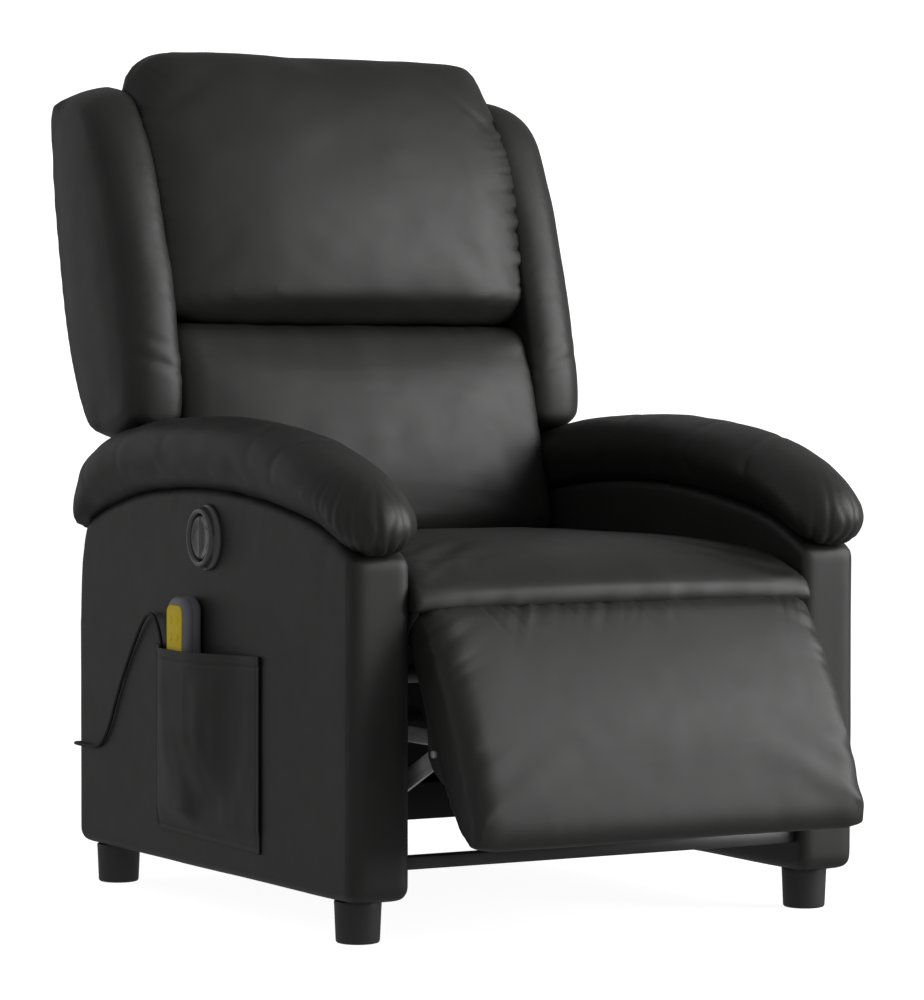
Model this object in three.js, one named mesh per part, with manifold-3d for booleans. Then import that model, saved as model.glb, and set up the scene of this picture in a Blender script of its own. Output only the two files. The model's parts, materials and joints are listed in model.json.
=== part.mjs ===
// Power recliner armchair with vibration massage.
// Millimetres, +Z up, the sitter faces -Y, +X is the sitter's left side.
// Origin: middle of the overall width and depth, on the floor.
import * as THREE from 'three';
import { mergeVertices } from 'three/addons/utils/BufferGeometryUtils.js';
import Module from 'manifold-3d';

const wasm = await Module();
wasm.setup();

// ---------------------------------------------------------------- dimensions
const GAP = 0.35;                 // clearance left between touching pieces
const DEPTH_OFFSET = 13;          // arm centre sits this far behind the origin
const ARM_OUT = 325;              // outer face of the arm boxes
const ARM_IN = 252.6;             // inner face of the arm boxes
const ARM_HALF_DEPTH = 336.8;
const FOOT_H = 45;                // feet
const FOOT_R = 25.6;
const FOOT_X = 289.4;
const FOOT_YF = -287.9;
const FOOT_YR = 296.6;
const PAD_IN = 244;               // arm pads overhang the boxes
const PAD_OUT = 347;
const SEAT_HALF = 243.5;          // seat cushion half width
const SEAT_Z = 345;               // underside of the seat cushion
const PLATE_X0 = 248.8;           // mechanism side plates, 3 mm steel
const PLATE_T = 3;
const G1 = [-338, 360];           // footrest hinge (y, z)
const G2 = [-158, 273];           // drive tube axis (y, z)
const H = [275, 350];             // back hinge (y, z)
const KNUCKLE = [-370, 205];      // link pin on the footrest bracket (y, z)
const CRANK_PIN = [-190, 118];    // link pin on the crank (y, z)
const TUBE_R = 11;
const PIN_R = 4;
const PIN_HOLE = 4.5;
const LUG_R = 55;                 // drive lug arm
const LUG_REST = 16.5;            // degrees behind straight down at rest
const FOOTREST_TILT = 27;         // degrees of the pad from vertical at rest
const POST_TILT = 11;             // degrees of the back posts
const WALL = 3;                   // pocket and trim sheet thickness

// ------------------------------------------------------------------ helpers
const root = new THREE.Group();
root.position.y = DEPTH_OFFSET;

const finishes = {
  leather: { color: 0x2b2b2a, roughness: 0.42, metalness: 0 },
  steelBlack: { color: 0x1c1c1c, roughness: 0.5, metalness: 0.6 },
  steel: { color: 0x8f9092, roughness: 0.35, metalness: 1 },
  wood: { color: 0x9c7a4e, roughness: 0.7, metalness: 0 },
  plastic: { color: 0x202022, roughness: 0.5, metalness: 0 },
  gloss: { color: 0x141416, roughness: 0.15, metalness: 0 },
  grey: { color: 0x3a3c3e, roughness: 0.5, metalness: 0 },
  yellow: { color: 0xc9a21c, roughness: 0.5, metalness: 0 },
  webbing: { color: 0x151515, roughness: 0.9, metalness: 0 },
  cord: { color: 0x0c0c0c, roughness: 0.6, metalness: 0 },
};

function add(name, geometry, finish) {
  const mesh = new THREE.Mesh(geometry, new THREE.MeshStandardMaterial({ ...finishes[finish] }));
  mesh.name = name;
  root.add(mesh);
  return mesh;
}

function solid(geometry) {
  let g = geometry.index ? geometry.toNonIndexed() : geometry.clone();
  g.deleteAttribute('normal');
  g.deleteAttribute('uv');
  g = mergeVertices(g, 1e-4);
  return new wasm.Manifold(new wasm.Mesh({
    numProp: 3,
    vertProperties: new Float32Array(g.attributes.position.array),
    triVerts: new Uint32Array(g.index.array),
  }));
}

function geometryOf(manifold) {
  const mesh = manifold.getMesh();
  const g = new THREE.BufferGeometry();
  const n = mesh.numProp;
  const count = mesh.vertProperties.length / n;
  const p = new Float32Array(count * 3);
  for (let i = 0; i < count; i++) for (let k = 0; k < 3; k++) p[3 * i + k] = mesh.vertProperties[n * i + k];
  g.setAttribute('position', new THREE.BufferAttribute(p, 3));
  g.setIndex(new THREE.BufferAttribute(new Uint32Array(mesh.triVerts), 1));
  g.computeVertexNormals();
  return g;
}

function cut(base, ...tools) {
  let m = solid(base);
  for (const t of tools) m = m.subtract(solid(t));
  return geometryOf(m);
}
function join(base, ...tools) {
  let m = solid(base);
  for (const t of tools) m = m.add(solid(t));
  return geometryOf(m);
}
function clip(base, tool) { return geometryOf(solid(base).intersect(solid(tool))); }

function box(x0, x1, y0, y1, z0, z1) {
  const g = new THREE.BoxGeometry(x1 - x0, y1 - y0, z1 - z0);
  g.translate((x0 + x1) / 2, (y0 + y1) / 2, (z0 + z1) / 2);
  return g;
}

// Cylinder along X between x0 and x1, centred on (y, z).
function rodX(x0, x1, y, z, r, seg = 12) {
  const g = new THREE.CylinderGeometry(r, r, x1 - x0, seg);
  g.rotateZ(Math.PI / 2);
  g.translate((x0 + x1) / 2, y, z);
  return g;
}

// Extrudes a (y, z) outline along X from x0 to x1, with optional rounded edges.
function sideProfile(points, x0, x1, round = 0, seg = 2) {
  const shape = new THREE.Shape(points.map(([y, z]) => new THREE.Vector2(y, z)));
  const g = new THREE.ExtrudeGeometry(shape, {
    depth: (x1 - x0) - 2 * round,
    bevelEnabled: round > 0,
    bevelThickness: round, bevelSize: round, bevelOffset: -round, bevelSegments: seg,
    curveSegments: 8,
  });
  // shape x -> Y, shape y -> Z, extrusion -> X
  g.applyMatrix4(new THREE.Matrix4().set(
    0, 0, 1, x0 + round,
    1, 0, 0, 0,
    0, 1, 0, 0,
    0, 0, 0, 1));
  return g;
}

// Extrudes an (x, z) outline along Y.
function frontProfile(points, y0, y1) {
  const shape = new THREE.Shape(points.map(([x, z]) => new THREE.Vector2(x, z)));
  const g = new THREE.ExtrudeGeometry(shape, { depth: y1 - y0, bevelEnabled: false });
  g.applyMatrix4(new THREE.Matrix4().set(
    1, 0, 0, 0,
    0, 0, -1, y1,
    0, 1, 0, 0,
    0, 0, 0, 1));
  return g;
}

// Extrudes an (x, y) outline along Z.
function planProfile(points, z0, z1) {
  const shape = new THREE.Shape(points.map(([x, y]) => new THREE.Vector2(x, y)));
  const g = new THREE.ExtrudeGeometry(shape, { depth: z1 - z0, bevelEnabled: false });
  g.translate(0, 0, z0);
  return g;
}

function mirrorX(geometry) {
  const g = geometry.index ? geometry.toNonIndexed() : geometry.clone();
  const p = g.attributes.position;
  for (let i = 0; i < p.count; i += 3) {
    const a = [p.getX(i), p.getY(i), p.getZ(i)];
    const b = [p.getX(i + 1), p.getY(i + 1), p.getZ(i + 1)];
    const c = [p.getX(i + 2), p.getY(i + 2), p.getZ(i + 2)];
    p.setXYZ(i, -a[0], a[1], a[2]);
    p.setXYZ(i + 1, -c[0], c[1], c[2]);
    p.setXYZ(i + 2, -b[0], b[1], b[2]);
  }
  g.computeVertexNormals();
  return g;
}

// Right-hand piece of the sitter is at -X; each pair is made at +X and mirrored.
function pair(name, geometry, finish) {
  add(`${name}_L`, geometry, finish);
  add(`${name}_R`, mirrorX(geometry), finish);
}

// A rounded flat bar between two points in a side view, with an eye at each end.
function barOutline(a, b, half, n = 5) {
  const [dy, dz] = [b[0] - a[0], b[1] - a[1]];
  const t = Math.atan2(dz, dy);
  const pts = [];
  for (let i = 0; i <= n; i++) {
    const s = t - Math.PI / 2 + Math.PI * i / n;
    pts.push([b[0] + half * Math.cos(s), b[1] + half * Math.sin(s)]);
  }
  for (let i = 0; i <= n; i++) {
    const s = t + Math.PI / 2 + Math.PI * i / n;
    pts.push([a[0] + half * Math.cos(s), a[1] + half * Math.sin(s)]);
  }
  return pts;
}

// -------------------------------------------------------------- base: arms
const archOuter = [[-329, 409], [-308, 416], [-268, 433], [-223, 444.5], [-131, 459], [-36, 467.5],
  [63, 468], [166, 460], [246, 444.5], [309, 425], [331, 413]];
const armOutline = [[-336.8, 60], [-331, 49], [-322, 45.2 + GAP], [322, 45.2 + GAP], [331, 49], [336.8, 60], [336.8, 400],
  ...[...archOuter].reverse(), [-336.8, 400]];
pair('arm_box', sideProfile(armOutline, ARM_IN, ARM_OUT, 5, 2), 'leather');

const padOutline = [[-352, 413], [-330, 411], ...archOuter.slice(1, -1).map(([y, z]) => [y, z + 0.8]), [334, 413],
  [345, 432], [347, 456], [341, 482], [318, 508], [270, 532], [190, 546], [90, 553], [0, 554], [-90, 550],
  [-180, 540], [-262, 523], [-322, 502], [-360, 478], [-374, 452], [-370, 428]];
pair('arm_pad', sideProfile(padOutline, PAD_IN, PAD_OUT, 0, 1), 'leather');

// -------------------------------------------------------------------- feet
const footProfile = [[0, 0], [FOOT_R - 3.2, 0], [FOOT_R - 1.8, 1.5], [FOOT_R, FOOT_H - 3], [FOOT_R, FOOT_H], [0, FOOT_H]]
  .map(([r, z]) => new THREE.Vector2(r, z));
for (const [name, sx, y] of [['foot_front_L', 1, FOOT_YF], ['foot_front_R', -1, FOOT_YF], ['foot_rear_L', 1, FOOT_YR], ['foot_rear_R', -1, FOOT_YR]]) {
  const g = new THREE.LatheGeometry(footProfile, 20);
  g.rotateX(Math.PI / 2);
  g.translate(sx * FOOT_X, y, 0);
  add(name, g, 'plastic');
}

// ------------------------------------------------------------- base: frame
const BASE_X = ARM_IN - GAP;
add('front_crossbar', box(-BASE_X, BASE_X, -322, -304, 78, 92), 'steelBlack');
add('rear_bottom_rail', box(-BASE_X, BASE_X, 305, 323, 49, 95), 'wood');
add('rear_valance', box(-BASE_X, BASE_X, 326, 331, 96, 296), 'webbing');

// Mechanism side plate: front ear at the footrest hinge, rear ear at the back hinge.
function plate() {
  const outline = [
    [-349, 359], [-346, 366.5], [-338, 370], [-329, 367.5], [-300, 343], [-240, 336], [200, 336], [262, 362], [275, 365],
    [287, 360], [291, 348], [286, 336], [262, 306], [240, 240], [240, 150], [225, 135], [180, 135], [160, 200],
    [60, 250], [-100, 252], [-122, 246], [-158, 244], [-190, 250], [-230, 296], [-300, 312], [-340, 347]];
  return cut(sideProfile(outline, PLATE_X0, PLATE_X0 + PLATE_T),
    rodX(PLATE_X0 - 5, PLATE_X0 + 10, G1[0], G1[1], PIN_HOLE, 12),
    rodX(PLATE_X0 - 5, PLATE_X0 + 10, G2[0], G2[1], TUBE_R + 0.6, 16),
    rodX(PLATE_X0 - 5, PLATE_X0 + 10, H[0], H[1], PIN_HOLE + 1, 12));
}
pair('mechanism_plate', plate(), 'steelBlack');

pair('seat_rail', box(226, 246, -286, 226, 318, 342), 'wood');
add('seat_rail_front', box(-225.5, 225.5, -286, -264, 312, 342), 'wood');
add('seat_rail_rear', box(-225.5, 225.5, 204, 226, 312, 342), 'wood');

// Sinuous seat springs, clipped between the front and rear rails.
function sinuous(x0, z, y0, y1, amp, waves) {
  const pts = [];
  const n = waves * 4;
  for (let i = 0; i <= n; i++) {
    const y = y0 + (y1 - y0) * i / n;
    const s = Math.sin(i * Math.PI / 2);
    pts.push(new THREE.Vector3(x0 + amp * s, y, z));
  }
  const curve = new THREE.CatmullRomCurve3(pts, false, 'centripetal');
  const r = 2;
  const section = new THREE.Shape([[1, 0], [0, 1], [-1, 0], [0, -1]].map(([a, b]) => new THREE.Vector2(a * r, b * r)));
  return new THREE.ExtrudeGeometry(section, { steps: waves * 8, bevelEnabled: false, extrudePath: curve });
}
add('seat_springs', join(
  sinuous(-132, 334, -261, 201, 26, 6), sinuous(0, 334, -261, 201, 26, 6), sinuous(132, 334, -261, 201, 26, 6),
  box(-165, 165, -112, -109, 331.6, 334.6), box(-165, 165, 49, 52, 331.6, 334.6)), 'steel');

// ------------------------------------------------------------ seat cushion
const seatOutline = [[186, SEAT_Z], [-300, SEAT_Z], [-314, 379], [-345, 381], [-350, 386], [-343, 396], [-322, 407],
  [-291, 414], [-200, 422], [-60, 428], [90, 424], [186, 411]];
add('seat_cushion', sideProfile(seatOutline, -SEAT_HALF, SEAT_HALF, 0), 'leather');

// ---------------------------------------------------------------- footrest
// Local frame: u runs down the pad from the hinge, v runs forward out of it.
const tilt = THREE.MathUtils.degToRad(FOOTREST_TILT);
const du = [-Math.sin(tilt), -Math.cos(tilt)];
const dv = [-Math.cos(tilt), Math.sin(tilt)];
const uv = (u, v) => [G1[0] + u * du[0] + v * dv[0], G1[1] + u * du[1] + v * dv[1]];

const footPadOutline = [[14, -18.4], [4, -14], [-6, -8], [-12, 0], [-9, 8], [-2, 13], [8, 15], [30, 20], [80, 26.5],
  [150, 29], [215, 24], [258, 15], [272, 7], [276, -4], [270, -14], [262, -18.4]].map(([u, v]) => uv(u, v)).reverse();
const padNotch = (x0, x1) => sideProfile([[-30, -40], [28, -40], [28, 34], [-30, 34]].map(([u, v]) => uv(u, v)).reverse(), x0, x1);
add('footrest_pad', cut(sideProfile(footPadOutline, -244.5, 244.5, 0), padNotch(230, 260), padNotch(-260, -230)), 'leather');
const boardOutline = [[34, -33.5], [34, -19], [260, -19], [260, -22], [234, -30], [207, -33.5]].map(([u, v]) => uv(u, v));
add('footrest_board', sideProfile(boardOutline, -232, 232, 0), 'wood');

// Footrest bracket: hinge eye at the top, flange behind the board, ear for the link.
const bracketWeb = [[-11, -2], [-8, 8], [0, 11], [8, 8], [14, -6], [26, -20], [190, -35], [187, -40], [166, -52.5], [150, -55],
  [134, -48], [110, -39.5], [24, -37], [4, -14]].map(([u, v]) => uv(u, v)).reverse();
const kn = KNUCKLE;
const flange = (u0, u1, x0, x1) => sideProfile([[u0, -37], [u0, -34], [u1, -34], [u1, -37]].map(([u, v]) => uv(u, v)), x0, x1);
const bracket = join(
  cut(sideProfile(bracketWeb, 239.6, 243.6),
    rodX(230, 250, G1[0], G1[1], PIN_HOLE, 12),
    rodX(230, 250, kn[0], kn[1], PIN_HOLE, 12)),
  flange(60, 205, 196, 222), flange(60, 130, 221, 241), flange(174, 190, 221, 241));
pair('footrest_bracket', bracket, 'steel');
pair('footrest_hinge_pin', join(rodX(236, PLATE_X0 + PLATE_T + 0.4, G1[0], G1[1], PIN_R, 12), rodX(233.5, 236.5, G1[0], G1[1], 7, 12)), 'steel');
pair('link_pin', join(rodX(231.5, 246.5, kn[0], kn[1], PIN_R, 12), rodX(229, 232, kn[0], kn[1], 7.5, 12)), 'steel');

// ------------------------------------------------------- links and drive tube
const linkGeo = cut(sideProfile(barOutline(CRANK_PIN, KNUCKLE, 10.5), 233.8, 237.8),
  rodX(225, 245, CRANK_PIN[0], CRANK_PIN[1], PIN_HOLE, 12),
  rodX(225, 245, KNUCKLE[0], KNUCKLE[1], PIN_HOLE, 12));
pair('footrest_link', linkGeo, 'steel');

const crankGeo = join(
  cut(sideProfile(barOutline(CRANK_PIN, G2, 11), 239.6, 243.6),
    rodX(230, 250, G2[0], G2[1], TUBE_R - 2.5, 12)),
  rodX(231.5, 240, CRANK_PIN[0], CRANK_PIN[1], PIN_R, 12),
  rodX(229, 232, CRANK_PIN[0], CRANK_PIN[1], 7.5, 12),
  cut(rodX(233, 240.5, G2[0], G2[1], 17, 16), rodX(220, 250, G2[0], G2[1], TUBE_R + 0.6, 16)));
// The hub hole runs right through the crank as a socket for the tube.
pair('drive_crank', cut(crankGeo, rodX(220, 250, G2[0], G2[1], TUBE_R + 0.6, 16)), 'steel');

const lugDir = THREE.MathUtils.degToRad(LUG_REST);
const LUG_PIN = [G2[0] + LUG_R * Math.sin(lugDir), G2[1] - LUG_R * Math.cos(lugDir)];
add('drive_tube', join(
  rodX(-251.4, 251.4, G2[0], G2[1], TUBE_R, 16),
  sideProfile(barOutline(LUG_PIN, G2, 13), -3, 3),
  rodX(-18, 18, LUG_PIN[0], LUG_PIN[1], PIN_R, 12)), 'steelBlack');

// ---------------------------------------------------------------- actuator
const RAIL_TOP = 190;
add('actuator_rail', box(-16, 16, -224, 164, RAIL_TOP - 20, RAIL_TOP), 'steel');
const [cy, cz0, cz1] = [LUG_PIN[0], RAIL_TOP - 26, 244];
add('actuator_carriage', cut(
  join(box(-22, 22, cy - 28, cy + 28, cz0, 208), box(-22, 22, cy - 15, cy + 15, 207, cz1)),
  box(-16.6, 16.6, cy - 40, cy + 40, RAIL_TOP - 20.6, RAIL_TOP + 0.6),
  box(-30, 30, cy - 6.8, cy + 6.8, 213, cz1 + 5),
  box(-4.6, 4.6, cy - 40, cy + 40, 202.5, cz1 + 5)), 'plastic');
// Gear head, motor can across the chair, and the hanger arm up to the rear seat rail.
add('actuator_motor', join(box(-30, 30, 164.4, 226, 158, 204), rodX(-29, 62, 200, 181, 20, 16),
  box(-14, 14, 206, 211, 200, 311.6), box(-14, 14, 206, 225, 306, 311.6)), 'plastic');

// ------------------------------------------------------------ back (moves)
const pt = THREE.MathUtils.degToRad(POST_TILT);
const postDir = [Math.sin(pt), Math.cos(pt)];
const postN = [-Math.cos(pt), Math.sin(pt)];     // towards the sitter
const P0 = [290, 330];
const pw = (s, n) => [P0[0] + s * postDir[0] + n * postN[0], P0[1] + s * postDir[1] + n * postN[1]];
pair('back_post', sideProfile([pw(0, 12), pw(0, -12), pw(585, -12), pw(585, 12)], 214, 236), 'wood');
add('back_top_rail', sideProfile([pw(562, 12), pw(562, -12), pw(585, -12), pw(585, 12)], -213.6, 213.6), 'wood');
add('back_bottom_rail', sideProfile([pw(0, 12), pw(0, -12), pw(24, -12), pw(24, 12)], -213.6, 213.6), 'wood');
add('back_webbing', sideProfile([pw(40, 2), pw(40, -1), pw(550, -1), pw(550, 2)], -213.6, 213.6), 'webbing');
const backBracket = cut(sideProfile([[260, 350], [264, 361], [275, 366], ...[pw(120, 8), pw(120, -12), pw(0, -12)], [284, 338], [275, 335], [265, 339]].reverse(), 236.4, 240),
  rodX(230, 250, H[0], H[1], PIN_HOLE + 1, 12));
pair('back_bracket', backBracket, 'steelBlack');
pair('back_hinge_pin', join(rodX(233.4, PLATE_X0 + PLATE_T + 0.4, H[0], H[1], PIN_R + 1, 12), rodX(231, 233.6, H[0], H[1], 6, 12)), 'steel');

// Lumbar cushion and head pillow: front faces lean back, rear faces sit on the webbing.
const lumbarOutline = [[181, 418], pw(86, 30), pw(328, 30), [246, 662], [226, 640], [208, 600], [200, 560], [194, 525], [180, 480], [172, 440]];
add('lumbar_cushion', sideProfile(lumbarOutline, -242, 242, 0), 'leather');
const pillowOutline = [[258, 666], pw(333, 16), pw(600, 16), pw(655, 10), [398, 985], [372, 992], [345, 985], [322, 955],
  [300, 905], [280, 860], [262, 800], [250, 745], [244, 700], [248, 676]];
add('head_pillow', sideProfile(pillowOutline, -242, 242, 0), 'leather');

const wingOutline = [[222, 556], [262, 562], [318, 572], [346, 606], [372, 650], [398, 740], [412, 800], [424, 880],
  [428, 930], [404, 948], [362, 944], [330, 920], [300, 866], [274, 815], [252, 755], [238, 706], [224, 650], [216, 598]];
pair('back_wing', sideProfile(wingOutline, 244.4, 311, 0), 'leather');

// Outer back panel: follows the rear contour, narrow between the arms.
const shellOuter = [[352, 360], [357, 500], [372, 570], [403, 666], [420, 740], [433, 800], [443, 880], [445, 935], [436, 968]];
const shellInner = [[427, 965], [437, 934], [435, 881], [425, 802], [412, 742], [395, 668], [364, 572], [349, 501], [344, 360]];
const shellFull = sideProfile([...shellOuter, ...shellInner].reverse(), -309, 309);
const shellMask = frontProfile([[-246, 350], [246, 350], [246, 556], [309, 572], [309, 935], [292, 962], [-292, 962], [-309, 935], [-309, 572], [-246, 556]], 330, 460);
add('back_shell', clip(shellFull, shellMask), 'leather');

// ---------------------------------------------------------- massage motors
function puck(r, d) {
  const g = new THREE.CylinderGeometry(r, r, d, 16);
  return g;
}
const backMotor = puck(38, 22);
backMotor.rotateX(-pt);
{ const [y, z] = pw(215, 15.5); backMotor.translate(0, y, z); }
add('massage_motor_back', backMotor, 'plastic');
add('massage_motor_seat', (() => { const g = new THREE.CylinderGeometry(38, 38, 22, 16); g.rotateX(Math.PI / 2); g.translate(70, -30, 319); return g; })(), 'plastic');

// --------------------------------------------------------- recline control
const CTRL = [-8, 420.5];
function ovalRing(profile) {
  const g = new THREE.LatheGeometry(profile.map(([r, h]) => new THREE.Vector2(r, h)), 28);
  g.scale(34, 1, 37.5);          // y is the ring's axis
  g.rotateZ(Math.PI / 2);        // axis to -X, proud side outward
  g.translate(-ARM_OUT - GAP, CTRL[0], CTRL[1]);
  return g;
}
const bezel = (() => {
  const g = new THREE.LatheGeometry([[0, 0], [1, 0], [1, 3.5], [0.97, 5.5], [0.9, 7], [0.86, 11.5], [0.8, 13.5], [0.72, 13.5], [0.68, 11.5], [0.66, 4], [0, 4]]
    .map(([r, h]) => new THREE.Vector2(r, h)), 28);
  g.scale(34, 1, 37.5);
  g.rotateZ(Math.PI / 2);
  g.translate(-ARM_OUT - GAP, CTRL[0], CTRL[1]);
  return g;
})();
add('control_bezel', bezel, 'gloss');
function halfButton(sign) {
  const pts = [];
  const n = 10;
  for (let i = 0; i <= n; i++) {
    const a = -Math.PI / 2 + Math.PI * i / n;
    pts.push([sign * (0.9 + 0.62 * 34 * Math.cos(a) * 0.97), 0.62 * 37.5 * Math.sin(a)]);
  }
  if (sign < 0) pts.reverse();
  return sideProfile(pts.map(([y, z]) => [y + CTRL[0], z + CTRL[1]]), -ARM_OUT - GAP - 12, -ARM_OUT - GAP - 6.6);
}
add('recline_button_open', halfButton(-1), 'gloss');
add('recline_button_close', halfButton(1), 'gloss');

// ------------------------------------------------------ side pocket, handset
const FACE = -ARM_OUT;
const pocketOuter = [[-134, 0.4], [-134, 3], [-122, 12], [-26, 17], [-10, 31], [98, 31], [108, 22], [116, 8], [119, 3], [119, 0.4]];
const pocketInner = [[-120, -2], [-120, 9.4], [-25, 14.2], [-9, 28.4], [97, 28.4], [105.5, 20], [112, 8], [112, -2]];
const toPlan = (pts) => pts.map(([y, d]) => [FACE - d, y]);
const pocket = cut(planProfile(toPlan(pocketOuter).reverse(), 82, 295), planProfile(toPlan(pocketInner).reverse(), 88, 300));
add('side_pocket', pocket, 'leather');

const HAND_Y = 26;
const HS = { z0: 212, z1: 353, hw: 24, x0: FACE - 2.2, x1: FACE - 26.6 };
function handsetShape(x0, x1) {
  const shape = new THREE.Shape();
  const { z0, z1, hw } = HS;
  const r = 14;
  shape.moveTo(-hw + r * 0.6, z0);
  shape.lineTo(hw - r * 0.6, z0);
  shape.quadraticCurveTo(hw - 2, z0, hw - 2, z0 + r * 0.8);
  shape.lineTo(hw, z1 - r);
  shape.quadraticCurveTo(hw, z1, hw - r, z1);
  shape.lineTo(-hw + r, z1);
  shape.quadraticCurveTo(-hw, z1, -hw, z1 - r);
  shape.lineTo(-hw + 2, z0 + r * 0.8);
  shape.quadraticCurveTo(-hw + 2, z0, -hw + r * 0.6, z0);
  const g = new THREE.ExtrudeGeometry(shape, { depth: Math.abs(x1 - x0), bevelEnabled: false, curveSegments: 4 });
  g.applyMatrix4(new THREE.Matrix4().set(0, 0, 1, Math.min(x0, x1), 1, 0, 0, HAND_Y, 0, 1, 0, 0, 0, 0, 0, 1));
  return g;
}
add('handset_rear_shell', handsetShape(HS.x0, FACE - 13.8), 'grey');
add('handset_front_shell', handsetShape(FACE - 14.1, HS.x1 + 1.6), 'grey');
add('handset_keypad', sideProfile([[HAND_Y - 17, 232], [HAND_Y + 17, 232], [HAND_Y + 18, 338], [HAND_Y + 10, 344], [HAND_Y - 10, 344], [HAND_Y - 18, 338]], HS.x1, HS.x1 + 1.3), 'yellow');

// ------------------------------------------------------------ handset cord
const CORD_D = 4.2;
export const cordPoints = [
  [-214, 342.5, 152], [-214, 347, 152], [-220, 351.5, 152.5], [-236, 352.5, 154], [-262, 351, 156.5], [-290, 348, 159.5], [-312, 344.5, 161.5],
  [-325.5, 338.6, 162.4], [-328.6, 328, 162.6], [-328.2, 314, 162.2], [-327.8, 297, 162], [-327.8, 281, 163], [-327.8, 265, 168.5],
  [-327.8, 250, 181], [-327.8, 237, 199], [-327.8, 225, 220], [-327.9, 210, 244], [-328, 193, 268], [-328.4, 174, 292],
  [-329.2, 155, 313], [-330.5, 138, 325], [-331.5, 124, 328], [-332, 112, 323], [-331.8, 103, 310], [-330.8, 99, 294],
  [-330.6, 97, 270], [-330.8, 95, 240], [-331.6, 91, 205], [-333, 85.5, 170], [-335, 78, 140], [-337, 66, 124], [-338.2, 52, 121],
  [-338.8, 39, 130], [-339, 30.5, 148], [-339, 27, 170], [-339, 26, 192], [-339, 26, 205.4]];
{
  const curve = new THREE.CatmullRomCurve3(cordPoints.map((p) => new THREE.Vector3(...p)), false, 'centripetal');
  const section = new THREE.Shape(Array.from({ length: 8 }, (_, i) => {
    const a = (i + 0.5) * Math.PI / 4;
    return new THREE.Vector2(CORD_D / 2 * Math.cos(a), CORD_D / 2 * Math.sin(a));
  }));
  add('handset_cord', new THREE.ExtrudeGeometry(section, { steps: 76, bevelEnabled: false, extrudePath: curve }), 'cord');
}
// Strain reliefs: one on the rear of the base, one under the handset.
{
  const g = new THREE.CylinderGeometry(4.2, 8, 9.6, 12);
  g.translate(-214, 332.4 + 4.9, 152);
  add('cord_gland', g, 'plastic');
}

export default root;
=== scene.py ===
import bpy
import bmesh
import json
import math
import numpy as np
from mathutils import Matrix, Vector


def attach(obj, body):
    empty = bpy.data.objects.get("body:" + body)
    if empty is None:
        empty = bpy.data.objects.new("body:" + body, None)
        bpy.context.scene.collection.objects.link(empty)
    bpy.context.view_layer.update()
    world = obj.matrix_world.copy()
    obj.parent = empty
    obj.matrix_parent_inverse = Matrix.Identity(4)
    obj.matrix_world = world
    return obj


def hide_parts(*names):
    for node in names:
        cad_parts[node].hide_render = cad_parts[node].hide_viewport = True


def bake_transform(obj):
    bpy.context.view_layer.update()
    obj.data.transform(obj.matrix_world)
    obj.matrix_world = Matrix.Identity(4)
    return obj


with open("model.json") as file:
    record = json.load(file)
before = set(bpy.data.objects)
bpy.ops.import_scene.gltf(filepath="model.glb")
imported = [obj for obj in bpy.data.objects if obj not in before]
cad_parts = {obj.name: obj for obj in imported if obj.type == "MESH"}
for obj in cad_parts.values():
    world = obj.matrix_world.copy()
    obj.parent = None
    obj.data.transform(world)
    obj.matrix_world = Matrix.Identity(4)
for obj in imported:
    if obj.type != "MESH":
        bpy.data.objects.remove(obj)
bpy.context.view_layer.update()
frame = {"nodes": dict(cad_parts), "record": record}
scene = bpy.context.scene
OY = 13.0          # the model's own y = the arm-centred y used below, plus this many mm


# ------------------------------------------------------------------ camera
def make_camera():
    a, e, r = math.radians(30.519), math.radians(1.962), math.radians(0.156)
    fwd = Vector((math.sin(a) * math.cos(e), math.cos(a) * math.cos(e), -math.sin(e)))
    right = Vector((math.cos(a), -math.sin(a), 0))
    up = right.cross(fwd)
    right2 = right * math.cos(r) + up * math.sin(r)
    up2 = -right * math.sin(r) + up * math.cos(r)
    m = Matrix((right2, up2, -fwd)).transposed().to_4x4()
    m.translation = Vector((-2.3584, -4.0132 + OY / 1000, 0.6164))
    cam = bpy.data.cameras.new("camera")
    cam.lens = 144.99
    cam.sensor_width = 36
    cam.sensor_fit = "AUTO"
    cam.clip_end = 50
    ob = bpy.data.objects.new("camera", cam)
    scene.collection.objects.link(ob)
    ob.matrix_world = m
    scene.camera = ob


make_camera()


# --------------------------------------------------------------- materials
def nodes_of(mat):
    mat.use_nodes = True
    nt = mat.node_tree
    nt.nodes.clear()
    out = nt.nodes.new("ShaderNodeOutputMaterial")
    bsdf = nt.nodes.new("ShaderNodeBsdfPrincipled")
    nt.links.new(bsdf.outputs[0], out.inputs[0])
    coord = nt.nodes.new("ShaderNodeTexCoord")
    return nt, bsdf, coord.outputs["Object"]


def noise(nt, co, scale, detail=3.0, rough=0.5, stretch=None):
    if stretch:
        mp = nt.nodes.new("ShaderNodeMapping")
        mp.inputs["Scale"].default_value = stretch
        nt.links.new(co, mp.inputs["Vector"])
        co = mp.outputs[0]
    n = nt.nodes.new("ShaderNodeTexNoise")
    n.inputs["Scale"].default_value = scale
    n.inputs["Detail"].default_value = detail
    n.inputs["Roughness"].default_value = rough
    nt.links.new(co, n.inputs["Vector"])
    return n.outputs["Fac"]


def ramp(nt, fac, stops):
    r = nt.nodes.new("ShaderNodeValToRGB")
    r.color_ramp.elements[0].position, r.color_ramp.elements[1].position = stops[0][0], stops[-1][0]
    r.color_ramp.elements[0].color = (*stops[0][1], 1)
    r.color_ramp.elements[1].color = (*stops[-1][1], 1)
    for p, c in stops[1:-1]:
        el = r.color_ramp.elements.new(p)
        el.color = (*c, 1)
    nt.links.new(fac, r.inputs[0])
    return r.outputs[0]


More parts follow.
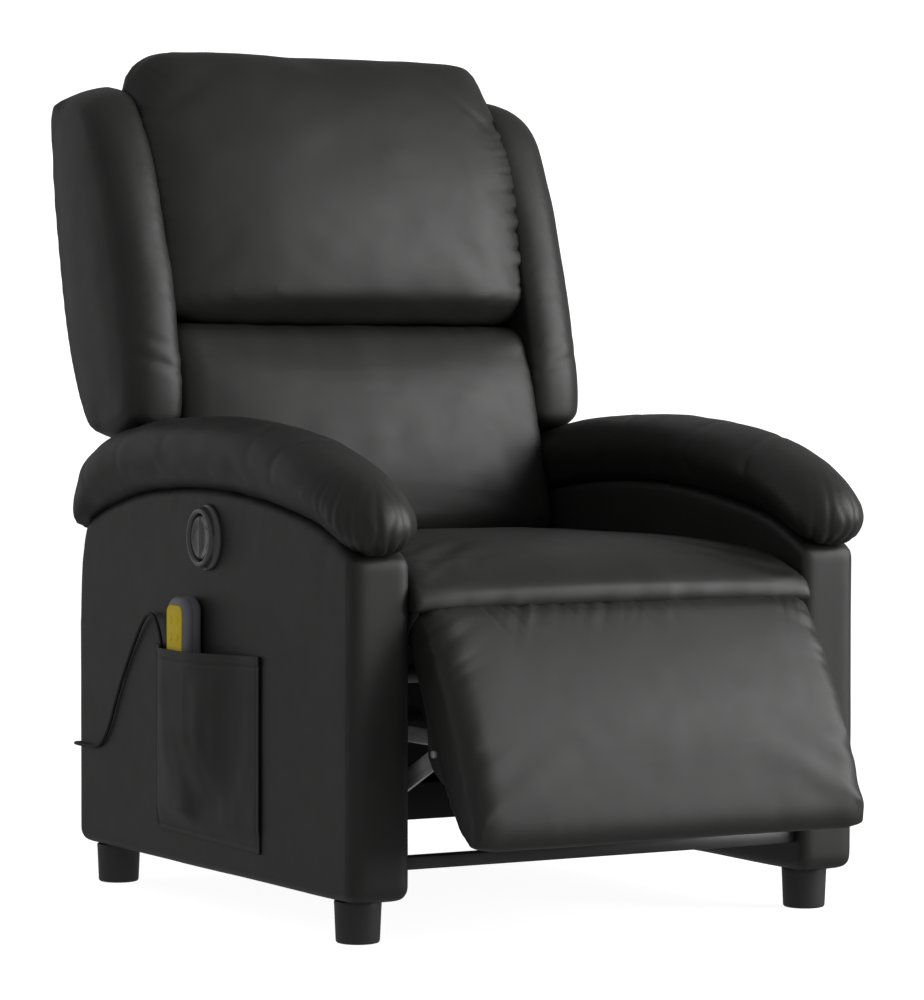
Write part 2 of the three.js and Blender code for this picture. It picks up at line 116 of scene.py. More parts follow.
def math_node(nt, op, a, b):
    m = nt.nodes.new("ShaderNodeMath")
    m.operation = op
    for i, v in enumerate((a, b)):
        if isinstance(v, (int, float)):
            m.inputs[i].default_value = v
        else:
            nt.links.new(v, m.inputs[i])
    return m.outputs[0]


def bump(nt, bsdf, height, strength, distance):
    b = nt.nodes.new("ShaderNodeBump")
    b.inputs["Strength"].default_value = strength
    b.inputs["Distance"].default_value = distance
    nt.links.new(height, b.inputs["Height"])
    nt.links.new(b.outputs[0], bsdf.inputs["Normal"])


def tone(c, k):
    return tuple(min(1, v * k) for v in c)


def leather(name, color, rough=0.42, spec=0.5, sheen=0.0):
    """Coated faux leather: pebble grain about 1.3 mm across, fine pores, slow colour drift."""
    mat = bpy.data.materials.new(name)
    nt, bsdf, co = nodes_of(mat)
    slow = noise(nt, co, 9, 3)
    nt.links.new(ramp(nt, slow, [(0.3, tone(color, 0.86)), (0.7, tone(color, 1.14))]), bsdf.inputs["Base Color"])
    warp = noise(nt, co, 260, 2)
    v = nt.nodes.new("ShaderNodeTexVoronoi")
    v.feature = "DISTANCE_TO_EDGE"
    v.inputs["Scale"].default_value = 640
    mix = nt.nodes.new("ShaderNodeVectorMath")
    mix.operation = "MULTIPLY_ADD"
    comb = nt.nodes.new("ShaderNodeCombineXYZ")
    for i in range(3):
        nt.links.new(warp, comb.inputs[i])
    nt.links.new(comb.outputs[0], mix.inputs[0])
    mix.inputs[1].default_value = (0.0016, -0.0014, 0.0015)
    nt.links.new(co, mix.inputs[2])
    nt.links.new(mix.outputs[0], v.inputs["Vector"])
    cells = math_node(nt, "MINIMUM", v.outputs["Distance"], 0.22)
    pores = math_node(nt, "MULTIPLY", noise(nt, co, 1900, 2), 0.12)
    grain = math_node(nt, "ADD", math_node(nt, "MULTIPLY", cells, 1.6), pores)
    bump(nt, bsdf, grain, 0.16, 0.0005)
    r = nt.nodes.new("ShaderNodeMapRange")
    r.inputs["To Min"].default_value = rough - 0.05
    r.inputs["To Max"].default_value = rough + 0.06
    nt.links.new(noise(nt, co, 34, 4), r.inputs["Value"])
    nt.links.new(r.outputs[0], bsdf.inputs["Roughness"])
    bsdf.inputs["Specular IOR Level"].default_value = spec
    bsdf.inputs["Sheen Weight"].default_value = sheen
    return mat


def plastic(name, color, rough=0.45, texture=900, depth=0.12, coat=0.0):
    mat = bpy.data.materials.new(name)
    nt, bsdf, co = nodes_of(mat)
    nt.links.new(ramp(nt, noise(nt, co, 22, 3), [(0.3, tone(color, 0.93)), (0.7, tone(color, 1.07))]), bsdf.inputs["Base Color"])
    r = nt.nodes.new("ShaderNodeMapRange")
    r.inputs["To Min"].default_value = max(0.02, rough - 0.04)
    r.inputs["To Max"].default_value = rough + 0.05
    nt.links.new(noise(nt, co, 60, 4), r.inputs["Value"])
    nt.links.new(r.outputs[0], bsdf.inputs["Roughness"])
    bump(nt, bsdf, noise(nt, co, texture, 2), depth, 0.0002)
    bsdf.inputs["Coat Weight"].default_value = coat
    return mat


def metal(name, color, rough=0.35, brushed=(1, 1, 1), metallic=1.0, depth=0.08):
    mat = bpy.data.materials.new(name)
    nt, bsdf, co = nodes_of(mat)
    nt.links.new(ramp(nt, noise(nt, co, 30, 4), [(0.3, tone(color, 0.85)), (0.7, tone(color, 1.1))]), bsdf.inputs["Base Color"])
    r = nt.nodes.new("ShaderNodeMapRange")
    r.inputs["To Min"].default_value = rough - 0.08
    r.inputs["To Max"].default_value = rough + 0.12
    nt.links.new(noise(nt, co, 700, 4, 0.6, brushed), r.inputs["Value"])
    nt.links.new(r.outputs[0], bsdf.inputs["Roughness"])
    bump(nt, bsdf, noise(nt, co, 500, 3, 0.6, brushed), depth, 0.0002)
    bsdf.inputs["Metallic"].default_value = metallic
    return mat


def wood(name, a, b):
    mat = bpy.data.materials.new(name)
    nt, bsdf, co = nodes_of(mat)
    w = nt.nodes.new("ShaderNodeTexWave")
    w.inputs["Scale"].default_value = 40
    w.inputs["Distortion"].default_value = 6
    w.inputs["Detail"].default_value = 3
    nt.links.new(co, w.inputs["Vector"])
    nt.links.new(ramp(nt, w.outputs["Fac"], [(0.2, a), (0.8, b)]), bsdf.inputs["Base Color"])
    bump(nt, bsdf, noise(nt, co, 300, 4, 0.6, (1, 1, 12)), 0.2, 0.0004)
    bsdf.inputs["Roughness"].default_value = 0.65
    return mat


def cloth_mat(name, color, pitch=1400):
    mat = bpy.data.materials.new(name)
    nt, bsdf, co = nodes_of(mat)
    nt.links.new(ramp(nt, noise(nt, co, 40, 4), [(0.3, tone(color, 0.8)), (0.7, tone(color, 1.2))]), bsdf.inputs["Base Color"])
    a = nt.nodes.new("ShaderNodeTexWave")
    a.inputs["Scale"].default_value = pitch / 6.28
    a.bands_direction = "X"
    b = nt.nodes.new("ShaderNodeTexWave")
    b.inputs["Scale"].default_value = pitch / 6.28
    b.bands_direction = "Z"
    for w in (a, b):
        nt.links.new(co, w.inputs["Vector"])
    bump(nt, bsdf, math_node(nt, "ADD", a.outputs["Fac"], b.outputs["Fac"]), 0.3, 0.0003)
    bsdf.inputs["Roughness"].default_value = 0.85
    return mat


LEATHER = (0.0205, 0.0200, 0.0188)
M = {
    "upholstery": leather("faux_leather", LEATHER, 0.46, 0.5),
    "side_upholstery": leather("faux_leather_side", tone(LEATHER, 0.98), 0.49, 0.5),
    "feet": plastic("foot_plastic", (0.033, 0.033, 0.033), 0.5),
    "black_steel": metal("black_powder_coat", (0.044, 0.044, 0.044), 0.42, metallic=0.0, depth=0.25),
    "bright_steel": metal("zinc_steel", (0.62, 0.62, 0.63), 0.38, (1, 14, 1), metallic=0.4),
    "timber": wood("plywood", (0.42, 0.29, 0.16), (0.52, 0.38, 0.22)),
    "dark_timber": cloth_mat("lined_timber", (0.012, 0.012, 0.012)),
    "lining": cloth_mat("lining_cloth", (0.010, 0.010, 0.010)),
    "control_plastic": plastic("control_gloss", (0.085, 0.085, 0.090), 0.2, 300, 0.03, 0.6),
    "motor_plastic": plastic("motor_plastic", (0.02, 0.02, 0.022), 0.5),
    "handset_plastic": plastic("handset_grey", (0.225, 0.228, 0.258), 0.42),
    "keypad": plastic("keypad_yellow", (0.95, 0.70, 0.004), 0.5, 700, 0.1),
    "cord_jacket": plastic("cord_black", (0.004, 0.004, 0.004), 0.55),
}


def dress(ob, slot):
    ob.data.materials.clear()
    ob.data.materials.append(M[slot])
    return ob


# ------------------------------------------------------------ mesh helpers
def hash3(i, j, k, seed):
    n = (i * 374761393 + j * 668265263 + k * 2147483647 + seed * 1274126177) & 0xFFFFFFFF
    n = ((n ^ (n >> 13)) * 1274126177) & 0xFFFFFFFF
    return ((n ^ (n >> 16)) & 0xFFFF) / 65535.0


def vnoise(p, scale, seed=0):
    """Smooth value noise from -1 to 1 at points p (n, 3) in mm; scale is the cell in mm."""
    q = np.asarray(p, float) / np.asarray(scale, float)
    i = np.floor(q).astype(np.int64)
    f = q - i
    f = f * f * (3 - 2 * f)
    out = 0
    for a in (0, 1):
        for b in (0, 1):
            for c in (0, 1):
                w = (f[:, 0] if a else 1 - f[:, 0]) * (f[:, 1] if b else 1 - f[:, 1]) * (f[:, 2] if c else 1 - f[:, 2])
                out = out + w * hash3(i[:, 0] + a, i[:, 1] + b, i[:, 2] + c, seed)
    return out * 2 - 1


def n1(s, seed=0):
    s = np.asarray(s, float)
    z = np.zeros_like(s)
    return vnoise(np.stack([s, z, z], 1), 1.0, seed)


def sstep(x, a, b):
    t = np.clip((x - a) / (b - a), 0, 1)
    return t * t * (3 - 2 * t)


def smooth_loop(pts, step, closed=True, sharp=()):
    """Catmull-Rom through pts, resampled to about `step`."""
    P = np.asarray(pts, float)
    n = len(P)
    out = []
    for i in range(n if closed else n - 1):
        p0, p1, p2, p3 = (P[(i + k) % n] if closed else P[min(max(i + k, 0), n - 1)] for k in (-1, 0, 1, 2))
        if i in sharp:
            p0 = p1 - (p2 - p1)
        if (i + 1) % n in sharp:
            p3 = p2 + (p2 - p1)
        t = np.linspace(0, 1, 17)[:-1, None]
        out.append(0.5 * (2 * p1 + (p2 - p0) * t + (2 * p0 - 5 * p1 + 4 * p2 - p3) * t ** 2 + (3 * p1 - p0 - 3 * p2 + p3) * t ** 3))
    C = np.concatenate(out)
    if not closed:
        C = np.vstack([C, P[-1]])
    else:
        C = np.vstack([C, C[0]])
    L = np.concatenate([[0], np.cumsum(np.linalg.norm(np.diff(C, axis=0), axis=1))])
    m = max(8, int(round(L[-1] / step)))
    s = np.linspace(0, L[-1], m + 1)
    R = np.stack([np.interp(s, L, C[:, k]) for k in range(P.shape[1])], 1)
    return R[:-1] if closed else R


def loop_normals(R, smooth=3):
    """Outward 2D normals of a closed loop."""
    d = np.roll(R, -1, 0) - np.roll(R, 1, 0)
    n = np.stack([d[:, 1], -d[:, 0]], 1)
    area = 0.5 * np.sum(R[:, 0] * np.roll(R[:, 1], -1) - np.roll(R[:, 0], -1) * R[:, 1])
    if area < 0:
        n = -n
    for _ in range(smooth):
        n = (np.roll(n, 1, 0) + n + np.roll(n, -1, 0)) / 3
    return n / np.maximum(1e-9, np.linalg.norm(n, axis=1))[:, None]


def new_object(name, verts_mm, faces, smooth=True):
    v = np.asarray(verts_mm, float).copy()
    v[:, 1] += OY
    me = bpy.data.meshes.new(name)
    me.from_pydata((v / 1000).tolist(), [], [list(map(int, f)) for f in faces])
    me.update()
    if smooth:
        me.polygons.foreach_set("use_smooth", [True] * len(me.polygons))
    ob = bpy.data.objects.new(name, me)
    scene.collection.objects.link(ob)
    return ob


def loft(name, outline, x0, x1, rx, di, step=6.0, low=None, soft=None, shape=None, sharp=()):
    """A (y, z) outline swept along X, its two ends rounded: over the last rx mm the outline draws in by di mm.
    low = (rx, di) for the -X end where it differs; soft(points) scales the rounding round the outline."""
    R = smooth_loop(outline, step, sharp=sharp)
    N = loop_normals(R)
    n = len(R)
    mid = (x0 + x1) / 2
    half = (x1 - x0) / 2
    rl, dl = low or (rx, di)
    W = np.ones(n) if soft is None else soft(R)
    ts = [math.sin(math.pi / 2 * k / 7) for k in range(8)]
    xs = [-(half - rl + rl * t) for t in reversed(ts)] + list(np.linspace(-(half - rl), half - rx, max(2, int((2 * half - rl - rx) / step)))[1:-1])
    xs += [half - rx + rx * t for t in ts]
    verts, faces = [], []
    for x in xs:
        r_, d_ = (rl, dl) if x < 0 else (rx, di)
        t = min(1.0, max(0.0, (abs(x) - (half - r_)) / r_))
        Q = R - N * (d_ * (1 - math.sqrt(max(0.0, 1 - t * t))) * W)[:, None]
        for (y, z) in Q:
            verts.append((mid + x, y, z))
    for i in range(len(xs) - 1):
        for k in range(n):
            a, b = i * n + k, i * n + (k + 1) % n
            faces.append((a, b, b + n, a + n))
    faces.append(tuple(range(n - 1, -1, -1)))
    last = (len(xs) - 1) * n
    faces.append(tuple(range(last, last + n)))
    v = np.array(verts)
    if shape is not None:
        v = shape(v)
    ob = new_object(name, v, faces)
    bm = bmesh.new()
    bm.from_mesh(ob.data)
    bmesh.ops.triangulate(bm, faces=[f for f in bm.faces if len(f.verts) > 4])
    bmesh.ops.recalc_face_normals(bm, faces=bm.faces)
    bm.to_mesh(ob.data)
    bm.free()
    return ob


def apply_mods(ob):
    dg = bpy.context.evaluated_depsgraph_get()
    me = bpy.data.meshes.new_from_object(ob.evaluated_get(dg))
    old = ob.data
    mats = list(old.materials)
    ob.modifiers.clear()
    ob.data = me
    if not me.materials:
        for m in mats:
            me.materials.append(m)
    bpy.data.meshes.remove(old)
    me.polygons.foreach_set("use_smooth", [True] * len(me.polygons))
    return ob


def remesh(ob, voxel=5.0, smooth=4):
    m = ob.modifiers.new("remesh", "REMESH")
    m.mode = "VOXEL"
    m.voxel_size = voxel / 1000
    if smooth:
        s = ob.modifiers.new("smooth", "SMOOTH")
        s.factor = 0.5
        s.iterations = smooth
    return apply_mods(ob)


def subdivide(ob, levels=1):
    m = ob.modifiers.new("sub", "SUBSURF")
    m.levels = m.render_levels = levels
    return apply_mods(ob)


def coords(ob):
    c = np.zeros(len(ob.data.vertices) * 3)
    ob.data.vertices.foreach_get("co", c)
    c = c.reshape(-1, 3) * 1000
    c[:, 1] -= OY
    return c


def set_coords(ob, c):
    c = c.copy()
    c[:, 1] += OY
    ob.data.vertices.foreach_set("co", (c / 1000).ravel())
    ob.data.update()


def vnormals(ob):
    n = np.zeros(len(ob.data.vertices) * 3)
    ob.data.vertex_normals.foreach_get("vector", n)
    return n.reshape(-1, 3)


def puff(ob, pinned, pressure=3.0, cap=10.0, grow=0.0, frames=14, stiff=15.0, bend=8.0, even=0):
    """Cloth simulation of the cover: pinned (0..1 per vertex) stays sewn down, the rest swells and wrinkles."""
    co0 = coords(ob)
    w = np.clip(pinned(co0), 0, 1)
    g = ob.vertex_groups.new(name="pin")
    for lv in np.unique(np.round(w, 1)):
        if lv > 0:
            g.add([int(i) for i in np.nonzero(np.round(w, 1) == lv)[0]], float(lv), "REPLACE")
    m = ob.modifiers.new("cloth", "CLOTH")
    s = m.settings
    s.quality = 4
    s.mass = 0.25
    s.air_damping = 2.0
    s.tension_stiffness = s.compression_stiffness = stiff
    s.shear_stiffness = stiff * 0.6
    s.bending_stiffness = bend
    s.tension_damping = s.compression_damping = s.shear_damping = 8
    s.use_pressure = True
    s.uniform_pressure_force = pressure
    s.vertex_group_mass = "pin"
    s.pin_stiffness = 1.0
    s.shrink_min = -grow
    s.effector_weights.gravity = 0
    m.collision_settings.use_collision = False
    m.collision_settings.use_self_collision = False
    m.point_cache.frame_start, m.point_cache.frame_end = 1, frames
    for f in range(1, frames + 1):
        scene.frame_set(f)
    apply_mods(ob)
    scene.frame_set(1)
    ob.vertex_groups.clear()
    d = coords(ob) - co0
    L = np.linalg.norm(d, axis=1)
    k = cap * np.tanh(L / cap) / np.maximum(L, 1e-6)
    d = d * k[:, None]
    if even:
        e = np.zeros(len(ob.data.edges) * 2, int)
        ob.data.edges.foreach_get("vertices", e)
        a, b = e.reshape(-1, 2).T
        cnt = np.bincount(np.concatenate([a, b]), minlength=len(d))[:, None]
        for _ in range(even):
            acc = np.zeros_like(d)
            np.add.at(acc, a, d[b])
            np.add.at(acc, b, d[a])
            d = 0.5 * d + 0.5 * acc / np.maximum(cnt, 1)
    set_coords(ob, co0 + d)
    return ob


def push(ob, fn):
    """Moves each vertex along its normal by fn(coordinates, normals) mm."""
    c, n = coords(ob), vnormals(ob)
    set_coords(ob, c + n * np.asarray(fn(c, n))[:, None])
    return ob


def puckers(s, d, wave, decay, amp, seed, sharp=1.0):
    """Small gathers across a seam: s runs along the seam, d away from it, all in mm."""
    s = s + 4 * n1(s / 40, seed + 5)
    v = n1(s / wave, seed) + 0.5 * n1(s / (wave * 0.5), seed + 1)
    v = np.sign(v) * np.abs(v) ** sharp
    length = decay * (1 + 0.6 * n1(s / (wave * 1.7), seed + 2))
    return amp * v * np.exp(-np.maximum(d, 0) / length)


def crease(d, width, depth):
    """A sewn crease: a valley at d = 0."""
    return -depth * np.exp(-(d / width) ** 2)


def done(ob, body, slot, *replaced, fill=None):
    dress(ob, slot)
    if replaced:
        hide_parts(*replaced)
    if body:
        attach(ob, body)
    return ob


def mirrored(ob, name):
    me = ob.data.copy()
    c = np.zeros(len(me.vertices) * 3)
    me.vertices.foreach_get("co", c)
    c = c.reshape(-1, 3)
    c[:, 0] *= -1
    me.vertices.foreach_set("co", c.ravel())
    me.flip_normals()
    new = bpy.data.objects.new(name, me)
    scene.collection.objects.link(new)
    return new


# --------------------------------------------------------------- the cord
CORD_D = 4.2
CORD = [
    (-214, 342.5, 152), (-214, 347, 152), (-220, 351.5, 152.5), (-236, 352.5, 154), (-262, 351, 156.5), (-290, 348, 159.5), (-312, 344.5, 161.5),
    (-325.5, 338.6, 162.4), (-328.6, 328, 162.6), (-328.2, 314, 162.2), (-327.8, 297, 162), (-327.8, 281, 163), (-327.8, 265, 168.5),
    (-327.8, 250, 181), (-327.8, 237, 199), (-327.8, 225, 220), (-327.9, 210, 244), (-328, 193, 268), (-328.4, 174, 292),
    (-329.2, 155, 313), (-330.5, 138, 325), (-331.5, 124, 328), (-332, 112, 323), (-331.8, 103, 310), (-330.8, 99, 294),
    (-330.6, 97, 270), (-330.8, 95, 240), (-331.6, 91, 205), (-333, 85.5, 170), (-335, 78, 140), (-337, 66, 124), (-338.2, 52, 121),
    (-338.8, 39, 130), (-339, 30.5, 148), (-339, 27, 170), (-339, 26, 192), (-339, 26, 211.8)]


def tube(name, path, radius, seg=14, closed=False):
    P = np.asarray(path, float)
    T = np.gradient(P, axis=0)
    T /= np.linalg.norm(T, axis=1)[:, None]
    ref = np.cross(T[0], [0.3, 0.2, 1.0])
    ref /= np.linalg.norm(ref)
    verts, faces = [], []
    for i in range(len(P)):
        ref = ref - T[i] * np.dot(ref, T[i])
        ref /= np.linalg.norm(ref)
        b = np.cross(T[i], ref)
        r = radius[i] if hasattr(radius, "__len__") else radius
        for k in range(seg):
            a = 2 * math.pi * k / seg
            verts.append(P[i] + r * (math.cos(a) * ref + math.sin(a) * b))
    for i in range(len(P) - 1):
        for k in range(seg):
            a, b2 = i * seg + k, i * seg + (k + 1) % seg
            faces.append((a, b2, b2 + seg, a + seg))
    faces.append(tuple(range(seg - 1, -1, -1)))
    faces.append(tuple(range((len(P) - 1) * seg, len(P) * seg)))
    ob = new_object(name, verts, faces)
    bm = bmesh.new()
    bm.from_mesh(ob.data)
    bmesh.ops.recalc_face_normals(bm, faces=bm.faces)
    bm.to_mesh(ob.data)
    bm.free()
    return ob


def m(p):
    return (p[0] / 1000, (p[1] + OY) / 1000, p[2] / 1000)


cord_path = smooth_loop(CORD, 4.0, closed=False)
cord = tube("handset_cord_tube", cord_path, CORD_D / 2)
dress(cord, "cord_jacket")
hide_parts("handset_cord")
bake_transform(cord)


# ------------------------------------------------------------- arm boxes
ARCH = [(-329, 409), (-308, 416), (-268, 433), (-223, 444.5), (-131, 459), (-36, 467.5),
        (63, 468), (166, 460), (246, 444.5), (309, 425), (331, 413)]


def arm_box():
    top = [(y, z + 7) for (y, z) in ARCH]
    outline = [(-336.8, 60), (-333.6, 51), (-326, 46.2), (-310, 45.4), (-200, 45.4), (0, 45.4), (200, 45.4), (310, 45.4), (326, 46.2), (333.6, 51), (336.8, 60),
               (336.8, 150), (336.6, 300), (334.5, 360), (330, 392), (322, 418)] + top[1:-1][::-1] + [(-335, 408), (-336.8, 395), (-336.8, 300), (-336.8, 150)]
    ob = loft("arm_box_cover_L", outline, 252.6, 325, 14, 12, step=7, low=(8, 7))
    remesh(ob, 5.5, 3)

    def detail(c, n):
        out = vnoise(c, (90, 130, 110), 3) * 0.7 + vnoise(c, (40, 60, 50), 4) * 0.25
        # seam where the front panel meets the side panel
        front = np.abs(c[:, 1] + 327)
        side = sstep(c[:, 0], 316, 322)
        out = out + side * crease(front, 1.8, 0.45)
        out = out + side * puckers(c[:, 2], front, 22, 16, 0.45, 11) * (c[:, 1] > -327)
        # drag lines that hang from the arm pad
        arch = np.interp(c[:, 1], [p[0] for p in ARCH], [p[1] for p in ARCH])
        out = out + puckers(c[:, 1] + 0.25 * c[:, 2], arch - c[:, 2], 30, 34, 0.5, 12) * side
        return out

    subdivide(ob, 1)
    push(ob, detail)
    return ob


box_l = arm_box()
box_r = mirrored(box_l, "arm_box_cover_R")
done(box_l, "base", "side_upholstery", "arm_box_L", fill=0.9)
done(box_r, "base", "side_upholstery", "arm_box_R", fill=0.9)


# -------------------------------------------------------------- arm pads
def arm_pad():
    outline = [(-330, 411)] + [(y, z + 0.8) for (y, z) in ARCH[1:-1]] + [(330, 413),
               (337, 432), (336, 456), (327, 482), (306, 506), (266, 528), (190, 544), (90, 552), (0, 554), (-90, 550),
               (-180, 539), (-258, 520), (-314, 498), (-350, 472), (-363, 448), (-359, 428), (-346, 415)]

    def taper(v):
        v = v.copy()
        lead = 1 - sstep(v[:, 1], -365, -230)
        out = sstep(v[:, 0], 285, 345)
        v[:, 0] -= 10 * lead * out
        tail = sstep(v[:, 1], 250, 345)
        v[:, 0] -= 13 * tail * out
        return v

    def ends(R):
        heel = sstep(R[:, 0], 268, 312)
        return 1 - heel * (0.72 - 0.34 * sstep(R[:, 1], 440, 500))

    ob = loft("arm_pad_cover_L", outline, 239.5, 348.5, 54, 45, step=6, shape=taper, soft=ends)
    remesh(ob, 5.5, 6)

    def pins(c):
        arch = np.interp(c[:, 1], [p[0] for p in ARCH], [p[1] for p in ARCH])
        return 1 - sstep(c[:, 2] - arch, 6, 22)

    puff(ob, pins, pressure=2.5, cap=7, grow=0.003, even=2)
    subdivide(ob, 1)

    def detail(c, n):
        arch = np.interp(c[:, 1], [-376, -329] + [p[0] for p in ARCH[1:]], [408, 409] + [p[1] for p in ARCH[1:]])
        up = c[:, 2] - arch
        front = 1 - sstep(c[:, 1], -340, -285)
        out = puckers(c[:, 1], up - 8, 34, 16, 0.8, 21) * sstep(up, 4, 14)
        # gathers round the front end: they fan out from the lower seam
        phi = np.degrees(np.arctan2(-(c[:, 1] + 300), c[:, 0] - 290))
        rad = np.hypot(c[:, 1] + 300, c[:, 0] - 290)
        near = sstep(rad, 12, 30) * (1 - sstep(rad, 95, 120)) * sstep(up, 1, 8)
        for (p, a, w, reach) in ((-38, 1.3, 3.4, 20), (-20, 1.9, 3.2, 26), (-5, 2.4, 3.2, 34), (9, 2.2, 3.0, 26), (22, 2.8, 3.2, 40), (35, 2.4, 3.0, 28), (48, 2.9, 3.3, 44),
                                 (62, 2.4, 3.0, 30), (76, 2.7, 3.2, 36), (92, 2.2, 3.0, 26), (108, 2.5, 3.2, 32), (125, 2.0, 3.0, 24), (144, 1.8, 3.2, 22), (164, 1.4, 3.2, 18)):
            q = np.radians(phi - p - 5 * n1(up / 26, int(p) + 300)) * rad
            out = out - a * np.exp(-(q / w) ** 2) * np.exp(-np.maximum(0, up - 6) / reach) * near
            out = out + 0.45 * a * np.exp(-((q - 6.5) / 4.5) ** 2) * np.exp(-np.maximum(0, up - 6) / reach) * near
        out = out + vnoise(c, (30, 34, 26), 35) * 0.8 * (1 - 0.5 * front) + vnoise(c, (12, 60, 40), 36) * 0.25
        # a few slack cross wrinkles on top
        for (y0, w, a, sl) in ((-215, 7, 1.3, 0.35), (-120, 9, 0.8, -0.3), (60, 10, 0.9, 0.25), (205, 8, 1.1, -0.3), (262, 7, 1.0, 0.2)):
            q = c[:, 1] - y0 - sl * (c[:, 0] - 294) + 6 * n1(c[:, 0] / 25, int(y0) % 97)
            out = out - a * np.exp(-(q / w) ** 2) * sstep(up, 20, 50)
        return out

    push(ob, detail)
    return ob


pad_l = arm_pad()
pad_r = mirrored(pad_l, "arm_pad_cover_R")
done(pad_l, "base", "upholstery", "arm_pad_L", fill=0.75)
done(pad_r, "base", "upholstery", "arm_pad_R", fill=0.75)


# ------------------------------------------------------------------- seat
SEAM_Y, SEAM_Z = -352.0, 354.0


def seat():
    outline = [(191, 396), (184, 408), (168, 411.5), (130, 411.5), (60, 412), (-60, 412), (-180, 412), (-250, 411), (-288, 407.5), (-314, 398.5),
               (-335, 383.5), (-348, 368), (SEAM_Y, SEAM_Z + 2), (-345, 350.5), (-330, 352), (-316, 352), (-296, 349), (-240, 347), (-100, 346), (60, 346), (178, 347), (190, 358)]

    def crown(v):
        v = v.copy()
        x = np.abs(v[:, 0]) / 250
        top = sstep(v[:, 2], 372, 408)
        body = sstep(v[:, 1], -352, -230) * (1 - sstep(v[:, 1], -60, 160))
        v[:, 2] += top * (1 - x ** 2.4) * (2.0 * (1 - sstep(v[:, 1], -20, 170)) + 4.5 * body)
        frontness = (1 - sstep(v[:, 1], -330, -250)) * sstep(v[:, 2], 356, 376)
        v[:, 1] -= frontness * (1 - x ** 3) * 8
        v[:, 0] *= 1 + 0.012 * (1 - sstep(v[:, 1], -345, -334))
        return v

    def ends(R):
        return 0.92 * sstep(R[:, 1], 376, 404)

    ob = loft("seat_cover", outline, -252, 252, 30, 19, step=7, shape=crown, soft=ends)
    remesh(ob, 6, 4)

    def pins(c):
        low = 1 - sstep(c[:, 2], 354, 363)
        side = sstep(np.abs(c[:, 0]), 242, 249)
        back = sstep(c[:, 1], 150, 170)
        return np.maximum.reduce([low, side, back])

    puff(ob, pins, pressure=2.0, cap=6)
    subdivide(ob, 1)

    def detail(c, n):
        out = vnoise(c, (70, 60, 60), 41) * 1.2 + vnoise(c, (28, 30, 30), 42) * 0.35
        d = np.hypot(c[:, 1] - SEAM_Y, c[:, 2] - SEAM_Z)
        out = out + puckers(c[:, 0], d, 22, 9, 0.8, 43)
        # soft ridge where the top panel meets the front roll
        q = (c[:, 1] + 292) + 5 * n1(c[:, 0] / 60, 44)
        out = out + crease(q, 8, 1.1) * sstep(c[:, 2], 395, 408) * sstep(np.abs(c[:, 0]), 60, 200)
        # side drag wrinkles
        e = 251 - np.abs(c[:, 0])
        out = out + puckers(c[:, 1], e, 34, 16, 0.9, 45) * sstep(c[:, 2], 385, 402)
        return out

    push(ob, detail)
    return ob


seat_cover = seat()
dress(seat_cover, "upholstery")
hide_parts("seat_cushion")
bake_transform(seat_cover)


# --------------------------------------------------------------- footrest
G1 = (-338.0, 360.0)
TILT = math.radians(27)
DU = np.array([-math.sin(TILT), -math.cos(TILT)])
DV = np.array([-math.cos(TILT), math.sin(TILT)])


def uv(u, v):
    return (G1[0] + u * DU[0] + v * DV[0], G1[1] + u * DU[1] + v * DV[1])


def to_uv(c):
    d = c[:, 1:3] - np.array(G1)
    return d @ DU, d @ DV


def footrest():
    pts = [(6, 9), (12, 15), (22, 19.5), (45, 23.5), (85, 27), (130, 29), (170, 28.5), (215, 24), (250, 17), (268, 9), (277, 0), (278.5, -5), (275, -11), (264, -18.5),
           (245, -26), (222, -31.5), (190, -33.8), (164, -34), (100, -34), (60, -34.4), (28, -33.6), (12, -27), (4, -14), (2, -1)]
    outline = [uv(u, v) for u, v in pts]

    def ends(R):
        u, v = to_uv(np.column_stack([np.zeros(len(R)), R]))
        return 0.06 + 0.94 * sstep(v, -20, 18) * (1 - 0.5 * sstep(u, 225, 262))

    ob = loft("footrest_cover", outline, -248, 248, 26, 19, step=6.5, soft=ends)
    remesh(ob, 5.5, 4)

    def pins(c):
        u, v = to_uv(c)
        top = 1 - sstep(u, 14, 26)
        back = 1 - sstep(v, -24, -10)
        bottom = sstep(u, 262, 272)
        side = sstep(np.abs(c[:, 0]), 240, 246) * 0.8
        return np.maximum.reduce([top, back, bottom, side])

    puff(ob, pins, pressure=2.0, cap=6, even=12)
    subdivide(ob, 1)

    def detail(c, n):
        u, v = to_uv(c)
        face = sstep(v, -6, 8)
        out = vnoise(c, (130, 110, 110), 51) * 0.4 + vnoise(c, (30, 30, 30), 52) * 0.15
        lean = c[:, 0] + 0.55 * u * np.where(c[:, 0] > 60, -1, 1)
        out = out + face * puckers(lean, u - 8, 12, 9, 1.2, 53, 1.5)
        # single pleats that start at the seam
        for (x0, k, a) in ((-176, 0.45, 1.4), (-150, 0.5, 1.1), (-74, 0.55, 1.1), (-48, 0.6, 0.8), (12, 0.5, 0.7), (52, 0.2, 0.6), (206, -0.25, 0.7), (222, -0.3, 0.6)):
            q = c[:, 0] - x0 - k * (u - 10)
            out = out - a * np.exp(-(q / 3.6) ** 2) * np.exp(-np.maximum(0, u - 12) / 16) * face * sstep(u, 8, 13)
        e = 247 - np.abs(c[:, 0])
        out = out + puckers(u + 0.5 * e, np.abs(e - 10), 15, 15, 1.4, 54, 1.3) * sstep(v, -16, 4)
        out = out + face * puckers(c[:, 0], 277 - u, 26, 12, 0.5, 55)
        return out

    push(ob, detail)
    return ob


foot_cover = footrest()
done(foot_cover, "footrest", "upholstery", "footrest_pad", "footrest_board", fill=0.75)


